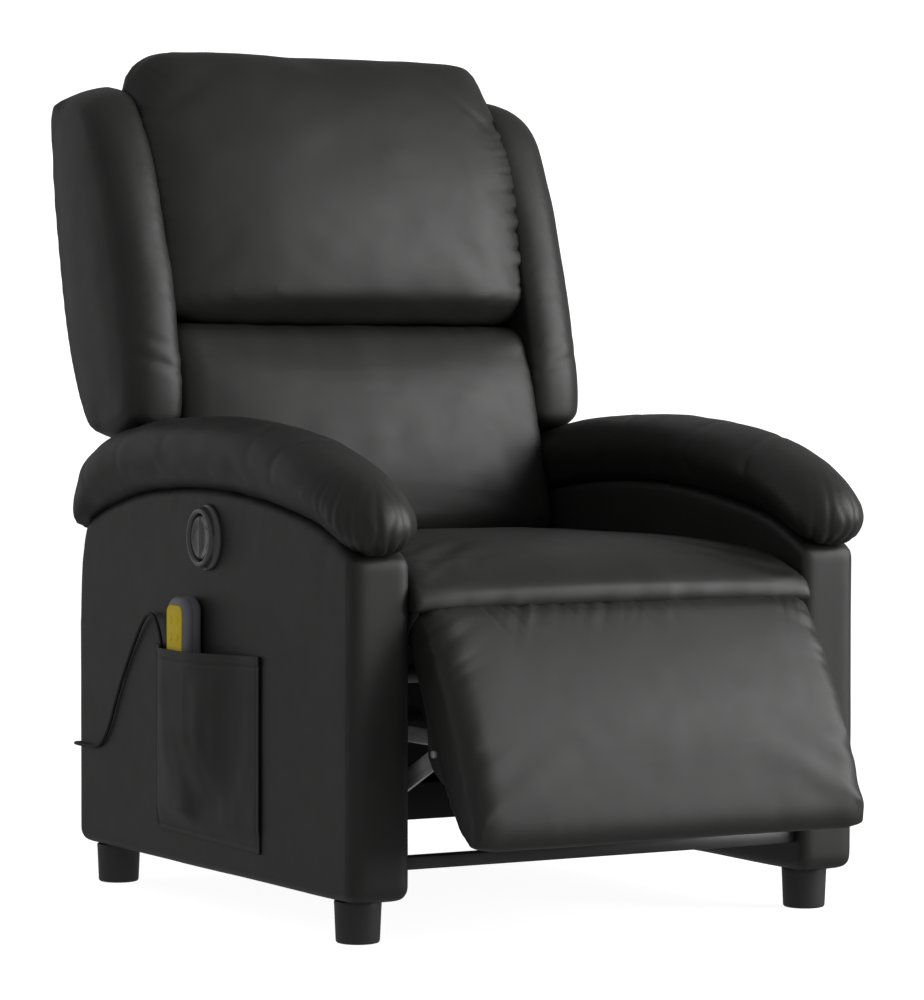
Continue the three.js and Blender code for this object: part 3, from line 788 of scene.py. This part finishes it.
# ------------------------------------------------------------------- back
def back_line(z):
    return np.interp(z, [411, 472, 533, 555, 605, 660, 671, 718, 793, 868, 932, 971], [175, 187, 204, 210, 225, 247, 262, 266, 276, 299, 323, 352])


def pillow():
    outline = [(300, 663), (280, 661), (268, 668), (262, 682), (262, 705), (265, 730), (275, 790), (299, 868), (322, 925), (342, 960), (366, 985), (392, 986),
               (410, 968), (414, 930), (405, 870), (384, 780), (362, 700), (350, 668), (335, 662)]

    def crown(v):
        v = v.copy()
        x = np.abs(v[:, 0]) / 245
        front = 1 - sstep(v[:, 1] - np.interp(v[:, 2], [660, 986], [262, 366]), 4, 60)
        lift = sstep(v[:, 2], 664, 700) * (1 - 0.35 * sstep(v[:, 2], 850, 980))
        k = np.where(v[:, 0] > 0, 5.0, 2.6)
        v[:, 1] -= front * (1 - x ** k) * (9 + 17 * lift)
        side = lift * (1 - sstep(v[:, 2], 840, 945))
        v[:, 1] -= front * side * 6 * sstep(v[:, 0], 120, 225)
        v[:, 0] += front * side * 7 * sstep(v[:, 0], 205, 240)
        v[:, 2] += (1 - x ** 4) * 4 * sstep(v[:, 2], 940, 980)
        return v

    def ends(R):
        face = 1 - sstep(R[:, 0] - back_line(R[:, 1]), 6, 60)
        top = sstep(R[:, 1], 900, 975)
        return np.clip((1 - 0.66 * face) * (1 - top) + top, 0, 1)

    ob = loft("head_pillow_cover", outline, -246, 246, 36, 24, step=7, low=(64, 44), shape=crown, soft=ends)
    remesh(ob, 6, 5)

    def pins(c):
        rear = sstep(c[:, 1] - back_line(c[:, 2]), 60, 90) * (1 - sstep(c[:, 2], 930, 960))
        side = sstep(np.abs(c[:, 0]), 236, 244)
        low = 1 - sstep(c[:, 2], 666, 676)
        return np.maximum.reduce([rear, side, low])

    puff(ob, pins, pressure=2.5, cap=9, grow=0.001, even=14)
    subdivide(ob, 1)

    def detail(c, n):
        front = 1 - sstep(c[:, 1] - back_line(c[:, 2]), 30, 80)
        out = vnoise(c, (90, 80, 80), 61) * 1.4 + vnoise(c, (34, 30, 30), 62) * 0.4
        e = 244 - np.abs(c[:, 0])
        right = c[:, 0] > 0
        out = out + front * puckers(c[:, 2], e, 13, 13, np.where(right, 2.0, 1.0), 63, 1.2)
        # short stitched-down scallops along the side seam
        ph = c[:, 2] / 23.0 + 0.35 * n1(c[:, 2] / 60, 67)
        out = out - np.where(right, 2.4, 0.9) * np.exp(-((ph - np.round(ph)) * 23 / 2.6) ** 2) * np.exp(-np.maximum(0, e - 2) / 9) * front * sstep(c[:, 2], 690, 720) * (1 - sstep(c[:, 2], 905, 950))
        out = out + front * puckers(c[:, 0], c[:, 2] - 668, 40, 16, 0.45, 64)
        # top corner gathers
        for sx in (-1, 1):
            dx, dz = (sx * c[:, 0] - 236), (c[:, 2] - 985)
            r = np.hypot(dx, dz)
            a = np.degrees(np.arctan2(-dz, -dx + 1e-6))
            out = out + 1.3 * (np.abs(n1(a / 13, 66 + sx)) - 0.35) * np.exp(-r / 36) * sstep(r, 4, 24)
        # slack folds that run up from the sides to the crest
        for (sx, x0, z0, slope, w, a) in ((-1, 196, 934, 0.55, 11, 1.7), (-1, 170, 962, 0.4, 9, 0.9), (1, 214, 915, 0.8, 8, 0.8)):
            q = (c[:, 2] - z0) + slope * (sx * c[:, 0] - x0)
            out = out - a * np.exp(-(q / w) ** 2) * np.exp(-((sx * c[:, 0] - x0) / 42) ** 2) * front
        # top seam just behind the crest
        out = out + crease(c[:, 1] - 372, 4, 1.6) * sstep(c[:, 2], 950, 975)
        return out

    push(ob, detail)
    return ob


pillow_cover = pillow()
done(pillow_cover, "back", "upholstery", "head_pillow", fill=0.85)


def lumbar():
    outline = [(190, 404), (180, 414), (176, 430), (182, 455), (189, 480), (199, 515), (209, 552), (224, 602), (240, 640), (256, 656), (275, 661), (310, 661),
               (326, 655), (322, 620), (300, 500), (284, 415), (270, 400), (230, 396)]

    def crown(v):
        v = v.copy()
        x = np.abs(v[:, 0]) / 245
        front = 1 - sstep(v[:, 1] - back_line(v[:, 2]), 4, 50)
        v[:, 1] -= front * (1 - x ** 2.6) * 13 * (1 - 0.7 * sstep(v[:, 2], 600, 660))
        return v

    ob = loft("lumbar_cover", outline, -245, 246, 22, 11, step=7, low=(32, 24), shape=crown)
    remesh(ob, 6, 5)

    def pins(c):
        rear = sstep(c[:, 1] - back_line(c[:, 2]), 40, 60)
        side = sstep(np.abs(c[:, 0]), 234, 242)
        top = sstep(c[:, 2], 646, 656)
        low = 1 - sstep(c[:, 2], 410, 424)
        return np.maximum.reduce([rear, side, top, low])

    puff(ob, pins, pressure=2.0, cap=8, grow=0.0, even=14)
    subdivide(ob, 1)

    def detail(c, n):
        front = 1 - sstep(c[:, 1] - back_line(c[:, 2]), 20, 60)
        out = vnoise(c, (100, 80, 80), 71) * 1.2 + vnoise(c, (34, 30, 30), 72) * 0.35
        e = 244 - np.abs(c[:, 0])
        out = out + front * puckers(c[:, 2], e, 24, 20, 1.2, 73)
        out = out + front * puckers(c[:, 0], 658 - c[:, 2], 30, 14, 0.9, 74)
        return out

    push(ob, detail)
    return ob


lumbar_cover = lumbar()
done(lumbar_cover, "back", "upholstery", "lumbar_cushion", fill=0.8)


def wing():
    outline = [(222, 541), (215, 560), (215, 598), (224, 650), (238, 706), (255, 762), (276, 819), (300, 870), (322, 909), (346, 936), (376, 946), (410, 947), (434, 940),
               (443, 915), (443, 883), (429, 786), (402, 668), (382, 612), (360, 570), (332, 535), (303, 522), (262, 526)]

    def ends(R):
        rear = sstep(R[:, 0] - np.interp(R[:, 1], [528, 620, 786, 948], [330, 378, 424, 438]), -30, 2)
        return 1 - 0.8 * rear

    def fall(v):
        v = v.copy()
        v[:, 2] -= 11 * sstep(v[:, 0], 246, 316) * sstep(v[:, 2], 880, 945)
        return v

    ob = loft("back_wing_cover_L", outline, 240, 314, 38, 25, step=6, low=(24, 14), soft=ends, shape=fall)
    remesh(ob, 5.5, 6)

    def pins(c):
        inner = 1 - sstep(c[:, 0], 252, 262)
        rear = sstep(c[:, 1] - np.interp(c[:, 2], [528, 620, 786, 948], [330, 378, 424, 438]), -16, -4)
        return np.maximum.reduce([inner, rear])

    puff(ob, pins, pressure=2.0, cap=6, even=8)
    subdivide(ob, 1)

    def detail(c, n):
        out = vnoise(c, (60, 70, 80), 81) * 1.0 + vnoise(c, (26, 30, 30), 82) * 0.35
        edge = np.interp(c[:, 2], [541, 598, 706, 819, 909, 948], [222, 215, 238, 276, 322, 360])
        d = c[:, 1] - edge
        out = out + puckers(c[:, 2], np.abs(c[:, 0] - 243), 22, 9, 0.9, 83)
        # a few dimples on the front roll
        for (z0, a) in ((618, 1.6), (640, 0.9), (704, 0.5)):
            q = c[:, 2] - z0 - 0.35 * (c[:, 0] - 280) + 3 * n1(c[:, 0] / 18, int(z0))
            out = out - a * np.exp(-(q / 8) ** 2) * np.exp(-np.maximum(0, d) / 26)
        return out

    push(ob, detail)
    return ob


wing_l = wing()
wing_r = mirrored(wing_l, "back_wing_cover_R")
done(wing_l, "back", "upholstery", "back_wing_L", fill=0.75)
done(wing_r, "back", "upholstery", "back_wing_R", fill=0.75)


# Outer back panel, as one upholstered shell.
def back_panel():
    cont = smooth_loop([(347, 352), (350, 420), (356, 500), (371, 570), (402, 666), (420, 740), (434, 800), (445, 870), (447, 905), (443, 926), (434, 936)], 8, closed=False)
    rows = []
    xs = np.linspace(-1, 1, 61)
    T = 12.0
    n = len(cont)
    tang = np.gradient(cont, axis=0)
    tang /= np.linalg.norm(tang, axis=1)[:, None]
    nor = np.stack([tang[:, 1], -tang[:, 0]], 1)
    front, rear = [], []
    for k in range(n):
        y, z = cont[k]
        half = np.interp(z, [352, 535, 572, 880, 925, 938], [246, 246, 300, 302, 292, 276])
        for x in xs:
            e = 1 - abs(x) ** 10
            out = -2.0 - 5 * (1 - e)
            rear.append((x * half, y + nor[k, 0] * out, z + nor[k, 1] * out))
            front.append((x * half * 0.996, y - nor[k, 0] * T * (0.35 + 0.65 * e), z - nor[k, 1] * T * (0.35 + 0.65 * e)))
    w = len(xs)
    V = np.array(rear + front)
    F = []
    off = n * w
    for i in range(n - 1):
        for j in range(w - 1):
            a = i * w + j
            F.append((a, a + w, a + w + 1, a + 1))
            F.append((off + a, off + a + 1, off + a + w + 1, off + a + w))
    for i in range(n - 1):
        a = i * w
        F.append((a, off + a, off + a + w, a + w))
        b = i * w + w - 1
        F.append((b, b + w, off + b + w, off + b))
    for j in range(w - 1):
        F.append((j, j + 1, off + j + 1, off + j))
        b = (n - 1) * w + j
        F.append((b, off + b, off + b + 1, b + 1))
    ob = new_object("back_panel_cover", V, F)
    bm = bmesh.new()
    bm.from_mesh(ob.data)
    bmesh.ops.recalc_face_normals(bm, faces=bm.faces)
    bm.to_mesh(ob.data)
    bm.free()
    subdivide(ob, 1)

    def detail(c, nn):
        e = np.interp(c[:, 2], [352, 535, 572, 880, 925, 938], [246, 246, 300, 302, 292, 276]) - np.abs(c[:, 0])
        out = vnoise(c, (110, 60, 120), 91) * 1.1
        out = out + puckers(c[:, 2], e, 30, 14, 0.8, 92)
        return out * (nn[:, 1] > 0)

    push(ob, detail)
    return ob


panel = back_panel()
done(panel, "back", "side_upholstery", "back_shell")


# ------------------------------------------------------------ hard pieces
def refine(node, slot, width=1.2, segments=2, angle=35):
    """A CAD piece with its edges broken and its round faces shaded round."""
    src = frame["nodes"][node]
    me = src.data.copy()
    ob = bpy.data.objects.new(node + "_part", me)
    scene.collection.objects.link(ob)
    bm = bmesh.new()
    bm.from_mesh(me)
    bmesh.ops.remove_doubles(bm, verts=bm.verts, dist=2e-6)
    bmesh.ops.dissolve_limit(bm, angle_limit=math.radians(1), verts=bm.verts, edges=bm.edges)
    bm.to_mesh(me)
    bm.free()
    if node.startswith("mechanism_plate"):
        me.transform(Matrix.Translation((-0.003 if node.endswith("L") else 0.003, 0, 0)))
    b = ob.modifiers.new("bevel", "BEVEL")
    b.width = width / 1000
    b.segments = segments
    b.limit_method = "ANGLE"
    b.angle_limit = math.radians(angle)
    b.harden_normals = False
    apply_mods(ob)
    try:
        ob.data.set_sharp_from_angle(angle=math.radians(40))
    except AttributeError:
        pass
    body = [k for k, v in frame["record"]["behaviour"]["bodies"].items() if node in v][0]
    return done(ob, body, slot, node)


slot_of = {s["node"]: s["material_slot"] for s in frame["record"]["subparts"]}
for node in ("front_crossbar", "rear_bottom_rail", "mechanism_plate_L", "mechanism_plate_R", "seat_rail_L", "seat_rail_R", "seat_rail_front",
             "seat_rail_rear", "footrest_bracket_L", "footrest_bracket_R", "footrest_link_L", "footrest_link_R", "drive_crank_L", "drive_crank_R", "drive_tube",
             "actuator_rail", "actuator_carriage", "actuator_motor", "back_post_L", "back_post_R", "back_top_rail", "back_bottom_rail", "back_bracket_L", "back_bracket_R",
             "footrest_hinge_pin_L", "footrest_hinge_pin_R", "link_pin_L", "link_pin_R", "back_hinge_pin_L", "back_hinge_pin_R"):
    refine(node, slot_of[node], 0.8 if "plate" in node or "bracket" in node or "pin" in node or "link" in node or "crank" in node else 1.6)


def lathe(name, profile, seg, place):
    verts, faces = [], []
    n = len(profile)
    for i in range(seg):
        a = 2 * math.pi * i / seg
        for (r, h) in profile:
            verts.append(place(r * math.cos(a), r * math.sin(a), h))
    for i in range(seg):
        for k in range(n - 1):
            a, b = i * n + k, ((i + 1) % seg) * n + k
            faces.append((a, b, b + 1, a + 1))
    faces.append(tuple(i * n for i in range(seg)))
    faces.append(tuple(i * n + n - 1 for i in range(seg)))
    ob = new_object(name, verts, faces)
    bm = bmesh.new()
    bm.from_mesh(ob.data)
    bmesh.ops.recalc_face_normals(bm, faces=bm.faces)
    bm.to_mesh(ob.data)
    bm.free()
    return ob


for name, sx, y in (("foot_front_L", 1, -287.9), ("foot_front_R", -1, -287.9), ("foot_rear_L", 1, 296.6), ("foot_rear_R", -1, 296.6)):
    prof = [(0.5, 0.0), (20.5, 0.0), (22.3, 0.5), (23.3, 1.6), (23.7, 3.2), (25.3, 40), (25.6, 43.6), (25.2, 44.8), (0.5, 45.0)]
    ob = lathe(name + "_part", prof, 64, lambda a, b, h, sx=sx, y=y: (sx * 289.4 + a, y + b, h))
    e = ob.modifiers.new("edge", "EDGE_SPLIT")
    e.split_angle = math.radians(50)
    ob.modifiers.clear()
    ob.data.set_sharp_from_angle(angle=math.radians(50))
    done(ob, "base", "feet", name)

def sheet_between(name, rows, x0, x1, th, cols, wave, seed, tuck=6.0):
    """A thin cloth panel: rows are (y, z) points from bottom to top."""
    cont = smooth_loop(rows, 7, closed=False)
    t = np.gradient(cont, axis=0)
    t /= np.linalg.norm(t, axis=1)[:, None]
    nor = np.stack([t[:, 1], -t[:, 0]], 1)
    xs = np.linspace(x0, x1, cols)
    n = len(cont)
    X, K = np.meshgrid(xs, np.arange(n))
    Yc, Zc = cont[K, 0], cont[K, 1]
    P = np.stack([X.ravel(), Yc.ravel(), Zc.ravel()], 1)
    edge = np.minimum(X - x0, x1 - X)
    off = vnoise(P, (60, 60, 70), seed).reshape(X.shape) * wave + vnoise(P, (26, 30, 60), seed + 1).reshape(X.shape) * wave * 0.5
    off = off * sstep(edge, 0, 20) - tuck * (1 - sstep(edge, 0, tuck * 1.5)) * 0.5
    outer = np.stack([X, Yc + nor[K, 0] * (off + th / 2), Zc + nor[K, 1] * (off + th / 2)], -1).reshape(-1, 3)
    inner = np.stack([X, Yc + nor[K, 0] * (off - th / 2), Zc + nor[K, 1] * (off - th / 2)], -1).reshape(-1, 3)
    F, o, w = [], n * cols, cols
    for i in range(n - 1):
        for j in range(w - 1):
            a = i * w + j
            F += [(a, a + w, a + w + 1, a + 1), (o + a, o + a + 1, o + a + w + 1, o + a + w)]
    for i in range(n - 1):
        a, b = i * w, i * w + w - 1
        F += [(a, o + a, o + a + w, a + w), (b, b + w, o + b + w, o + b)]
    for j in range(w - 1):
        b = (n - 1) * w + j
        F += [(j, j + 1, o + j + 1, o + j), (b, o + b, o + b + 1, b + 1)]
    ob = new_object(name, np.vstack([outer, inner]), F)
    bm = bmesh.new()
    bm.from_mesh(ob.data)
    bmesh.ops.recalc_face_normals(bm, faces=bm.faces)
    bm.to_mesh(ob.data)
    bm.free()
    return ob


valance = sheet_between("rear_valance_cloth", [(328.5, 88), (328.8, 140), (329.2, 200), (329.0, 250), (328.5, 296)], -251.5, 251.5, 2.6, 72, 0.5, 131, tuck=0.5)
done(valance, "base", "lining", "rear_valance")
flap = sheet_between("back_flap_cloth", [(333.0, 284), (334.5, 300), (340, 320), (347, 338), (350.5, 352), (351, 368)], -247, 247, 1.8, 70, 1.0, 137, tuck=2.0)
dress(flap, "side_upholstery")
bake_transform(flap)


# ----------------------------------------------------- recline control
CY, CZ, FACE = -8.0, 420.5, -325.0


def oval(name, profile, seg=96, ex=34.0, ez=37.5):
    """profile: (share of the half size, height off the face)."""
    return lathe(name, profile, seg, lambda a, b, h: (FACE - 0.35 - h, CY + a * ex, CZ + b * ez))


ring = oval("control_bezel_part", [(0.02, 0.0), (0.99, 0.0), (1.0, 0.8), (1.0, 2.4), (0.985, 3.6), (0.955, 4.6), (0.915, 5.4), (0.895, 7.0), (0.885, 9.6), (0.865, 11.8), (0.83, 13.2),
                                 (0.785, 13.5), (0.745, 13.0), (0.715, 11.6), (0.70, 9.5), (0.69, 5.0), (0.68, 2.6), (0.02, 2.4)])
ring.data.set_sharp_from_angle(angle=math.radians(60))
done(ring, "base", "control_plastic", "control_bezel")


def half_button(name, sign, node, body):
    ex, ez, g = 34.0 * 0.655, 37.5 * 0.655, 0.7
    rings = [(0.93, 5.0), (1.0, 6.0), (1.0, 8.8), (0.97, 9.8), (0.91, 10.4), (0.83, 10.3), (0.72, 9.7), (0.58, 8.9), (0.42, 8.2), (0.22, 7.8)]
    verts, faces = [], []
    n = 34
    base = []
    for i in range(n + 1):
        a = -math.pi / 2 + math.pi * i / n
        base.append((math.cos(a) * ex, math.sin(a) * ez))
    base += [(0.0, ez * (1 - 2 * k / 12)) for k in range(1, 12)]
    cx, cz = ex * 0.42, 0.0
    k = len(base)
    for (s, h) in rings:
        for (a, b) in base:
            verts.append((FACE - 0.35 - h, CY + sign * (g + cx + (a - cx) * s), CZ + cz + (b - cz) * s))
    for r in range(len(rings) - 1):
        for i in range(k):
            a, b = r * k + i, r * k + (i + 1) % k
            faces.append((a, b, b + k, a + k))
    faces.append(tuple(range(k)))
    faces.append(tuple(range((len(rings) - 1) * k, len(rings) * k)))
    ob = new_object(name, verts, faces)
    bm = bmesh.new()
    bm.from_mesh(ob.data)
    bmesh.ops.recalc_face_normals(bm, faces=bm.faces)
    bm.to_mesh(ob.data)
    bm.free()
    ob.data.set_sharp_from_angle(angle=math.radians(60))
    done(ob, body, "control_plastic", node)


half_button("recline_button_open_part", -1, "recline_button_open", "button_open")
half_button("recline_button_close_part", 1, "recline_button_close", "button_close")


# ------------------------------------------------------------------ pocket
def pocket_depth(y, z):
    """How far the cloth stands off the side: over the handset, over the lead's loop, and slack elsewhere."""
    flat = np.interp(y, [-136, -128, -60, 20, 100, 112, 121], [1.2, 3.0, 6.0, 8.0, 7.0, 3.5, 1.2]) * sstep(z, 82, 110)
    hand = 29.0 * sstep(y, -124, 1) * (1 - sstep(y, 51, 114)) * sstep(z, 82, 210)
    lead = np.interp(y, [-14, 4, 22, 40, 66, 85, 99, 108, 119], [1.2, 8, 16.8, 16.6, 15, 11.6, 8.8, 5.5, 1.2]) * sstep(z, 84, 116)
    return np.maximum((flat ** 5 + hand ** 5 + lead ** 5) ** 0.2, 1.2)


def pocket():
    ny, nz = 150, 132
    ys = np.linspace(-134, 119, ny)
    V, F = [], []
    th = 1.4
    Y, Z = np.meshgrid(ys, np.linspace(0, 1, nz))
    top = 295 - 1.5 * np.sin((Y + 134) / 253 * math.pi)
    bot = np.interp(Y, [-134, 119], [79, 84])
    Z = bot + (top - bot) * Z
    D = pocket_depth(Y, Z)
    k = np.ones((5,)) / 5
    for _ in range(6):
        P = np.pad(D, ((0, 0), (2, 2)), mode="edge")
        D = np.stack([np.convolve(r, k, mode="valid") for r in P])
    P3 = np.stack([np.full(Y.size, 0.0), Y.ravel(), Z.ravel()], 1)
    hang = sstep(Z, 90, 130) * (1 - sstep(Z, 255, 290))
    need = D.copy()
    D = D + (vnoise(P3, (40, 34, 60), 101).reshape(Y.shape) * 1.3 + vnoise(P3, (40, 14, 40), 102).reshape(Y.shape) * 0.5) * hang * sstep(119 - Y, 4, 26) * sstep(Y + 134, 4, 26)
    rim = np.minimum.reduce([Y + 134, 119 - Y, Z - bot])
    # folded hem with its stitch line, and the stitch line inside the other edges
    relief = 0.8 * (1 - sstep(top - Z, 9.5, 11.5)) - 0.9 * np.exp(-((top - Z - 12.5) / 1.5) ** 2)
    relief = relief - 0.8 * np.exp(-((rim - 5.5) / 1.5) ** 2) + 0.5 * (1 - sstep(rim, 3.2, 5.0))
    pitch = np.where(np.abs(top - Z - 12.5) < 3, Y, np.where(Z - bot < np.minimum(Y + 134, 119 - Y), Y, Z))
    relief = relief * (0.85 + 0.15 * np.cos(pitch * 2 * math.pi / 4.2))
    inside = sstep(Y, -8, 0) * (1 - sstep(Y, 99, 103)) * sstep(Z, 110, 120)
    D = np.maximum(D, np.where(inside > 0.5, need - 0.3, 0.9))
    D = np.clip(D, 0.9, 29.4)
    outer = np.stack([FACE - np.maximum(D + th * 0.5 + relief, 0.9), Y, Z], -1).reshape(-1, 3)
    inner = np.stack([FACE - np.maximum(D - th * 0.5, 0.25), Y, Z], -1).reshape(-1, 3)
    V = np.vstack([outer, inner])
    off = ny * nz
    for i in range(nz - 1):
        for j in range(ny - 1):
            a = i * ny + j
            F.append((a, a + 1, a + ny + 1, a + ny))
            F.append((off + a, off + a + ny, off + a + ny + 1, off + a + 1))
    for i in range(nz - 1):
        a = i * ny
        F.append((a, a + ny, off + a + ny, off + a))
        b = i * ny + ny - 1
        F.append((b, off + b, off + b + ny, b + ny))
    for j in range(ny - 1):
        F.append((j, off + j, off + j + 1, j + 1))
        b = (nz - 1) * ny + j
        F.append((b, b + 1, off + b + 1, off + b))
    ob = new_object("side_pocket_cloth", V, F)
    bm = bmesh.new()
    bm.from_mesh(ob.data)
    bmesh.ops.recalc_face_normals(bm, faces=bm.faces)
    bm.to_mesh(ob.data)
    bm.free()
    return ob


pk = pocket()
done(pk, "base", "side_upholstery", "side_pocket")


# ----------------------------------------------------------------- handset
HY = 26.0


def slab(name, hw, z0, z1, d0, d1, r, edge, taper=2.0, seg=12, flat_top=False, flat_bottom=False):
    """Rounded handset slice between depths d0 and d1 off the face, with softened rims."""
    def outline(inset):
        pts = []
        w0, w1 = hw - taper - inset, hw - inset
        rr = max(1.0, r - inset)
        for (cx, cz, a0) in ((w0 - rr, z0 + inset + rr, -90), (w1 - rr, z1 - inset - rr, 0), (-(w1 - rr), z1 - inset - rr, 90), (-(w0 - rr), z0 + inset + rr, 180)):
            for i in range(seg + 1):
                a = math.radians(a0 + 90 * i / seg)
                pts.append((cx + rr * math.cos(a), cz + rr * math.sin(a)))
        return pts
    layers = []
    e0 = 0.5 if flat_bottom else edge
    e1 = 0.5 if flat_top else edge
    for t in range(7):
        a = math.pi / 2 * t / 6
        layers.append((e0 * (1 - math.sin(a)), d0 + e0 * (1 - math.cos(a))))
    for t in range(7):
        a = math.pi / 2 * t / 6
        layers.append((e1 * (1 - math.cos(a)), d1 - e1 * (1 - math.sin(a))))
    verts, faces = [], []
    for (ins, d) in layers:
        for (a, b) in outline(ins):
            verts.append((FACE - d, HY + a, b))
    k = 4 * (seg + 1)
    for l in range(len(layers) - 1):
        for i in range(k):
            a, b = l * k + i, l * k + (i + 1) % k
            faces.append((a, b, b + k, a + k))
    faces.append(tuple(range(k)))
    faces.append(tuple(range((len(layers) - 1) * k, len(layers) * k)))
    ob = new_object(name, verts, faces)
    bm = bmesh.new()
    bm.from_mesh(ob.data)
    bmesh.ops.recalc_face_normals(bm, faces=bm.faces)
    bm.to_mesh(ob.data)
    bm.free()
    ob.data.set_sharp_from_angle(angle=math.radians(40))
    return ob


rear = slab("handset_rear", 24, 212, 353, 2.2, 13.85, 18, 5.5, taper=1.0, flat_top=True)
done(rear, "handset", "handset_plastic", "handset_rear_shell")
front = slab("handset_front", 24, 212, 353, 14.1, 25.2, 18, 8.5, taper=1.0, flat_bottom=True)
done(front, "handset", "handset_plastic", "handset_front_shell")
pad = slab("handset_keys", 18.5, 232, 343.5, 24.0, 26.4, 9, 1.3, taper=0.6)
bm = bmesh.new()
bm.from_mesh(pad.data)
for row in range(5):
    for col in (-1, 1):
        ky, kz = HY + col * 7.6, 251 + row * 19.0
        rings = [(3.6, 26.2), (3.6, 26.75), (3.2, 27.05), (2.2, 27.25), (1.0, 27.3)]
        loops = [[bm.verts.new(((FACE - h) / 1000, (ky + OY + r * math.cos(2 * math.pi * i / 24)) / 1000, (kz + 1.25 * r * math.sin(2 * math.pi * i / 24)) / 1000))
                  for i in range(24)] for (r, h) in rings]
        caps = [bm.faces.new(loops[0]), bm.faces.new(loops[-1])]
        for a, b in zip(loops, loops[1:]):
            for i in range(24):
                f = bm.faces.new((a[i], a[(i + 1) % 24], b[(i + 1) % 24], b[i]))
                f.smooth = True
bmesh.ops.recalc_face_normals(bm, faces=bm.faces)
bm.to_mesh(pad.data)
bm.free()
done(pad, "handset", "keypad", "handset_keypad")


# ------------------------------------------------------------- small parts
gland = lathe("cord_gland_part", [(0.3, 0), (8.0, 0), (8.0, 1.6), (7.4, 2.2), (5.6, 2.6), (5.2, 4.6), (4.6, 5.0), (4.8, 6.2), (4.1, 6.7), (4.3, 7.9), (3.5, 8.4), (3.6, 9.4), (2.6, 9.6), (2.2, 9.7)], 32,
              lambda a, b, h: (-214 + a, 332.4 + h, 152 + b))
gland.data.set_sharp_from_angle(angle=math.radians(40))
done(gland, "base", "motor_plastic", "cord_gland")

for node, ob in frame["nodes"].items():
    if not ob.hide_render:
        ob.data.materials.clear()
        ob.data.materials.append(M[slot_of[node]])

# --------------------------------------------------------------- the stage
def glow(name, level, albedo):
    mat = bpy.data.materials.new(name)
    nt, bsdf, co = nodes_of(mat)
    nt.links.new(ramp(nt, noise(nt, co, 2, 2), [(0.3, (albedo, albedo, albedo)), (0.7, (albedo * 1.04,) * 3)]), bsdf.inputs["Base Color"])
    bsdf.inputs["Roughness"].default_value = 0.9
    bsdf.inputs["Specular IOR Level"].default_value = 0.0
    bsdf.inputs["Emission Color"].default_value = (1, 1, 1, 1)
    bsdf.inputs["Emission Strength"].default_value = level
    return mat


def backdrop():
    """A white floor and a white sweep all round; neither throws light on the chair."""
    bm = bmesh.new()
    bmesh.ops.create_circle(bm, cap_ends=True, segments=64, radius=14)
    floor = bpy.data.meshes.new("floor")
    bm.to_mesh(floor)
    bm.free()
    bm = bmesh.new()
    bmesh.ops.create_uvsphere(bm, u_segments=48, v_segments=24, radius=13.5)
    bmesh.ops.reverse_faces(bm, faces=bm.faces)
    sweep = bpy.data.meshes.new("sweep")
    bm.to_mesh(sweep)
    bm.free()
    for me, mat in ((floor, glow("floor_white", 0.94, 0.5)), (sweep, glow("sweep_white", 1.3, 0.0))):
        me.materials.append(mat)
        ob = bpy.data.objects.new(me.name, me)
        scene.collection.objects.link(ob)
        ob.visible_diffuse = ob.visible_glossy = ob.visible_transmission = False
        ob.visible_shadow = False


backdrop()

world = bpy.data.worlds.new("studio")
scene.world = world
world.use_nodes = True
bg = world.node_tree.nodes["Background"]
bg.inputs[0].default_value = (1, 1, 1, 1)
bg.inputs[1].default_value = 0.27


def area(name, loc, target, size, radiance):
    """A softbox, its power worked out from the brightness of its face."""
    li = bpy.data.lights.new(name, "AREA")
    li.shape = "RECTANGLE"
    li.size, li.size_y = size
    li.energy = radiance * math.pi * size[0] * size[1]
    ob = bpy.data.objects.new(name, li)
    scene.collection.objects.link(ob)
    ob.location = loc
    ob.rotation_euler = (Vector(target) - Vector(loc)).to_track_quat("-Z", "Y").to_euler()
    ob.visible_camera = False
    return ob


area("key", (2.7, -2.1, 1.6), (0, 0, 0.5), (2.2, 2.9), 5.3)
area("left_fill", (-2.4, 2.6, 1.3), (0, 0, 0.5), (4.0, 3.0), 0.15)
scene.view_settings.view_transform = "Standard"
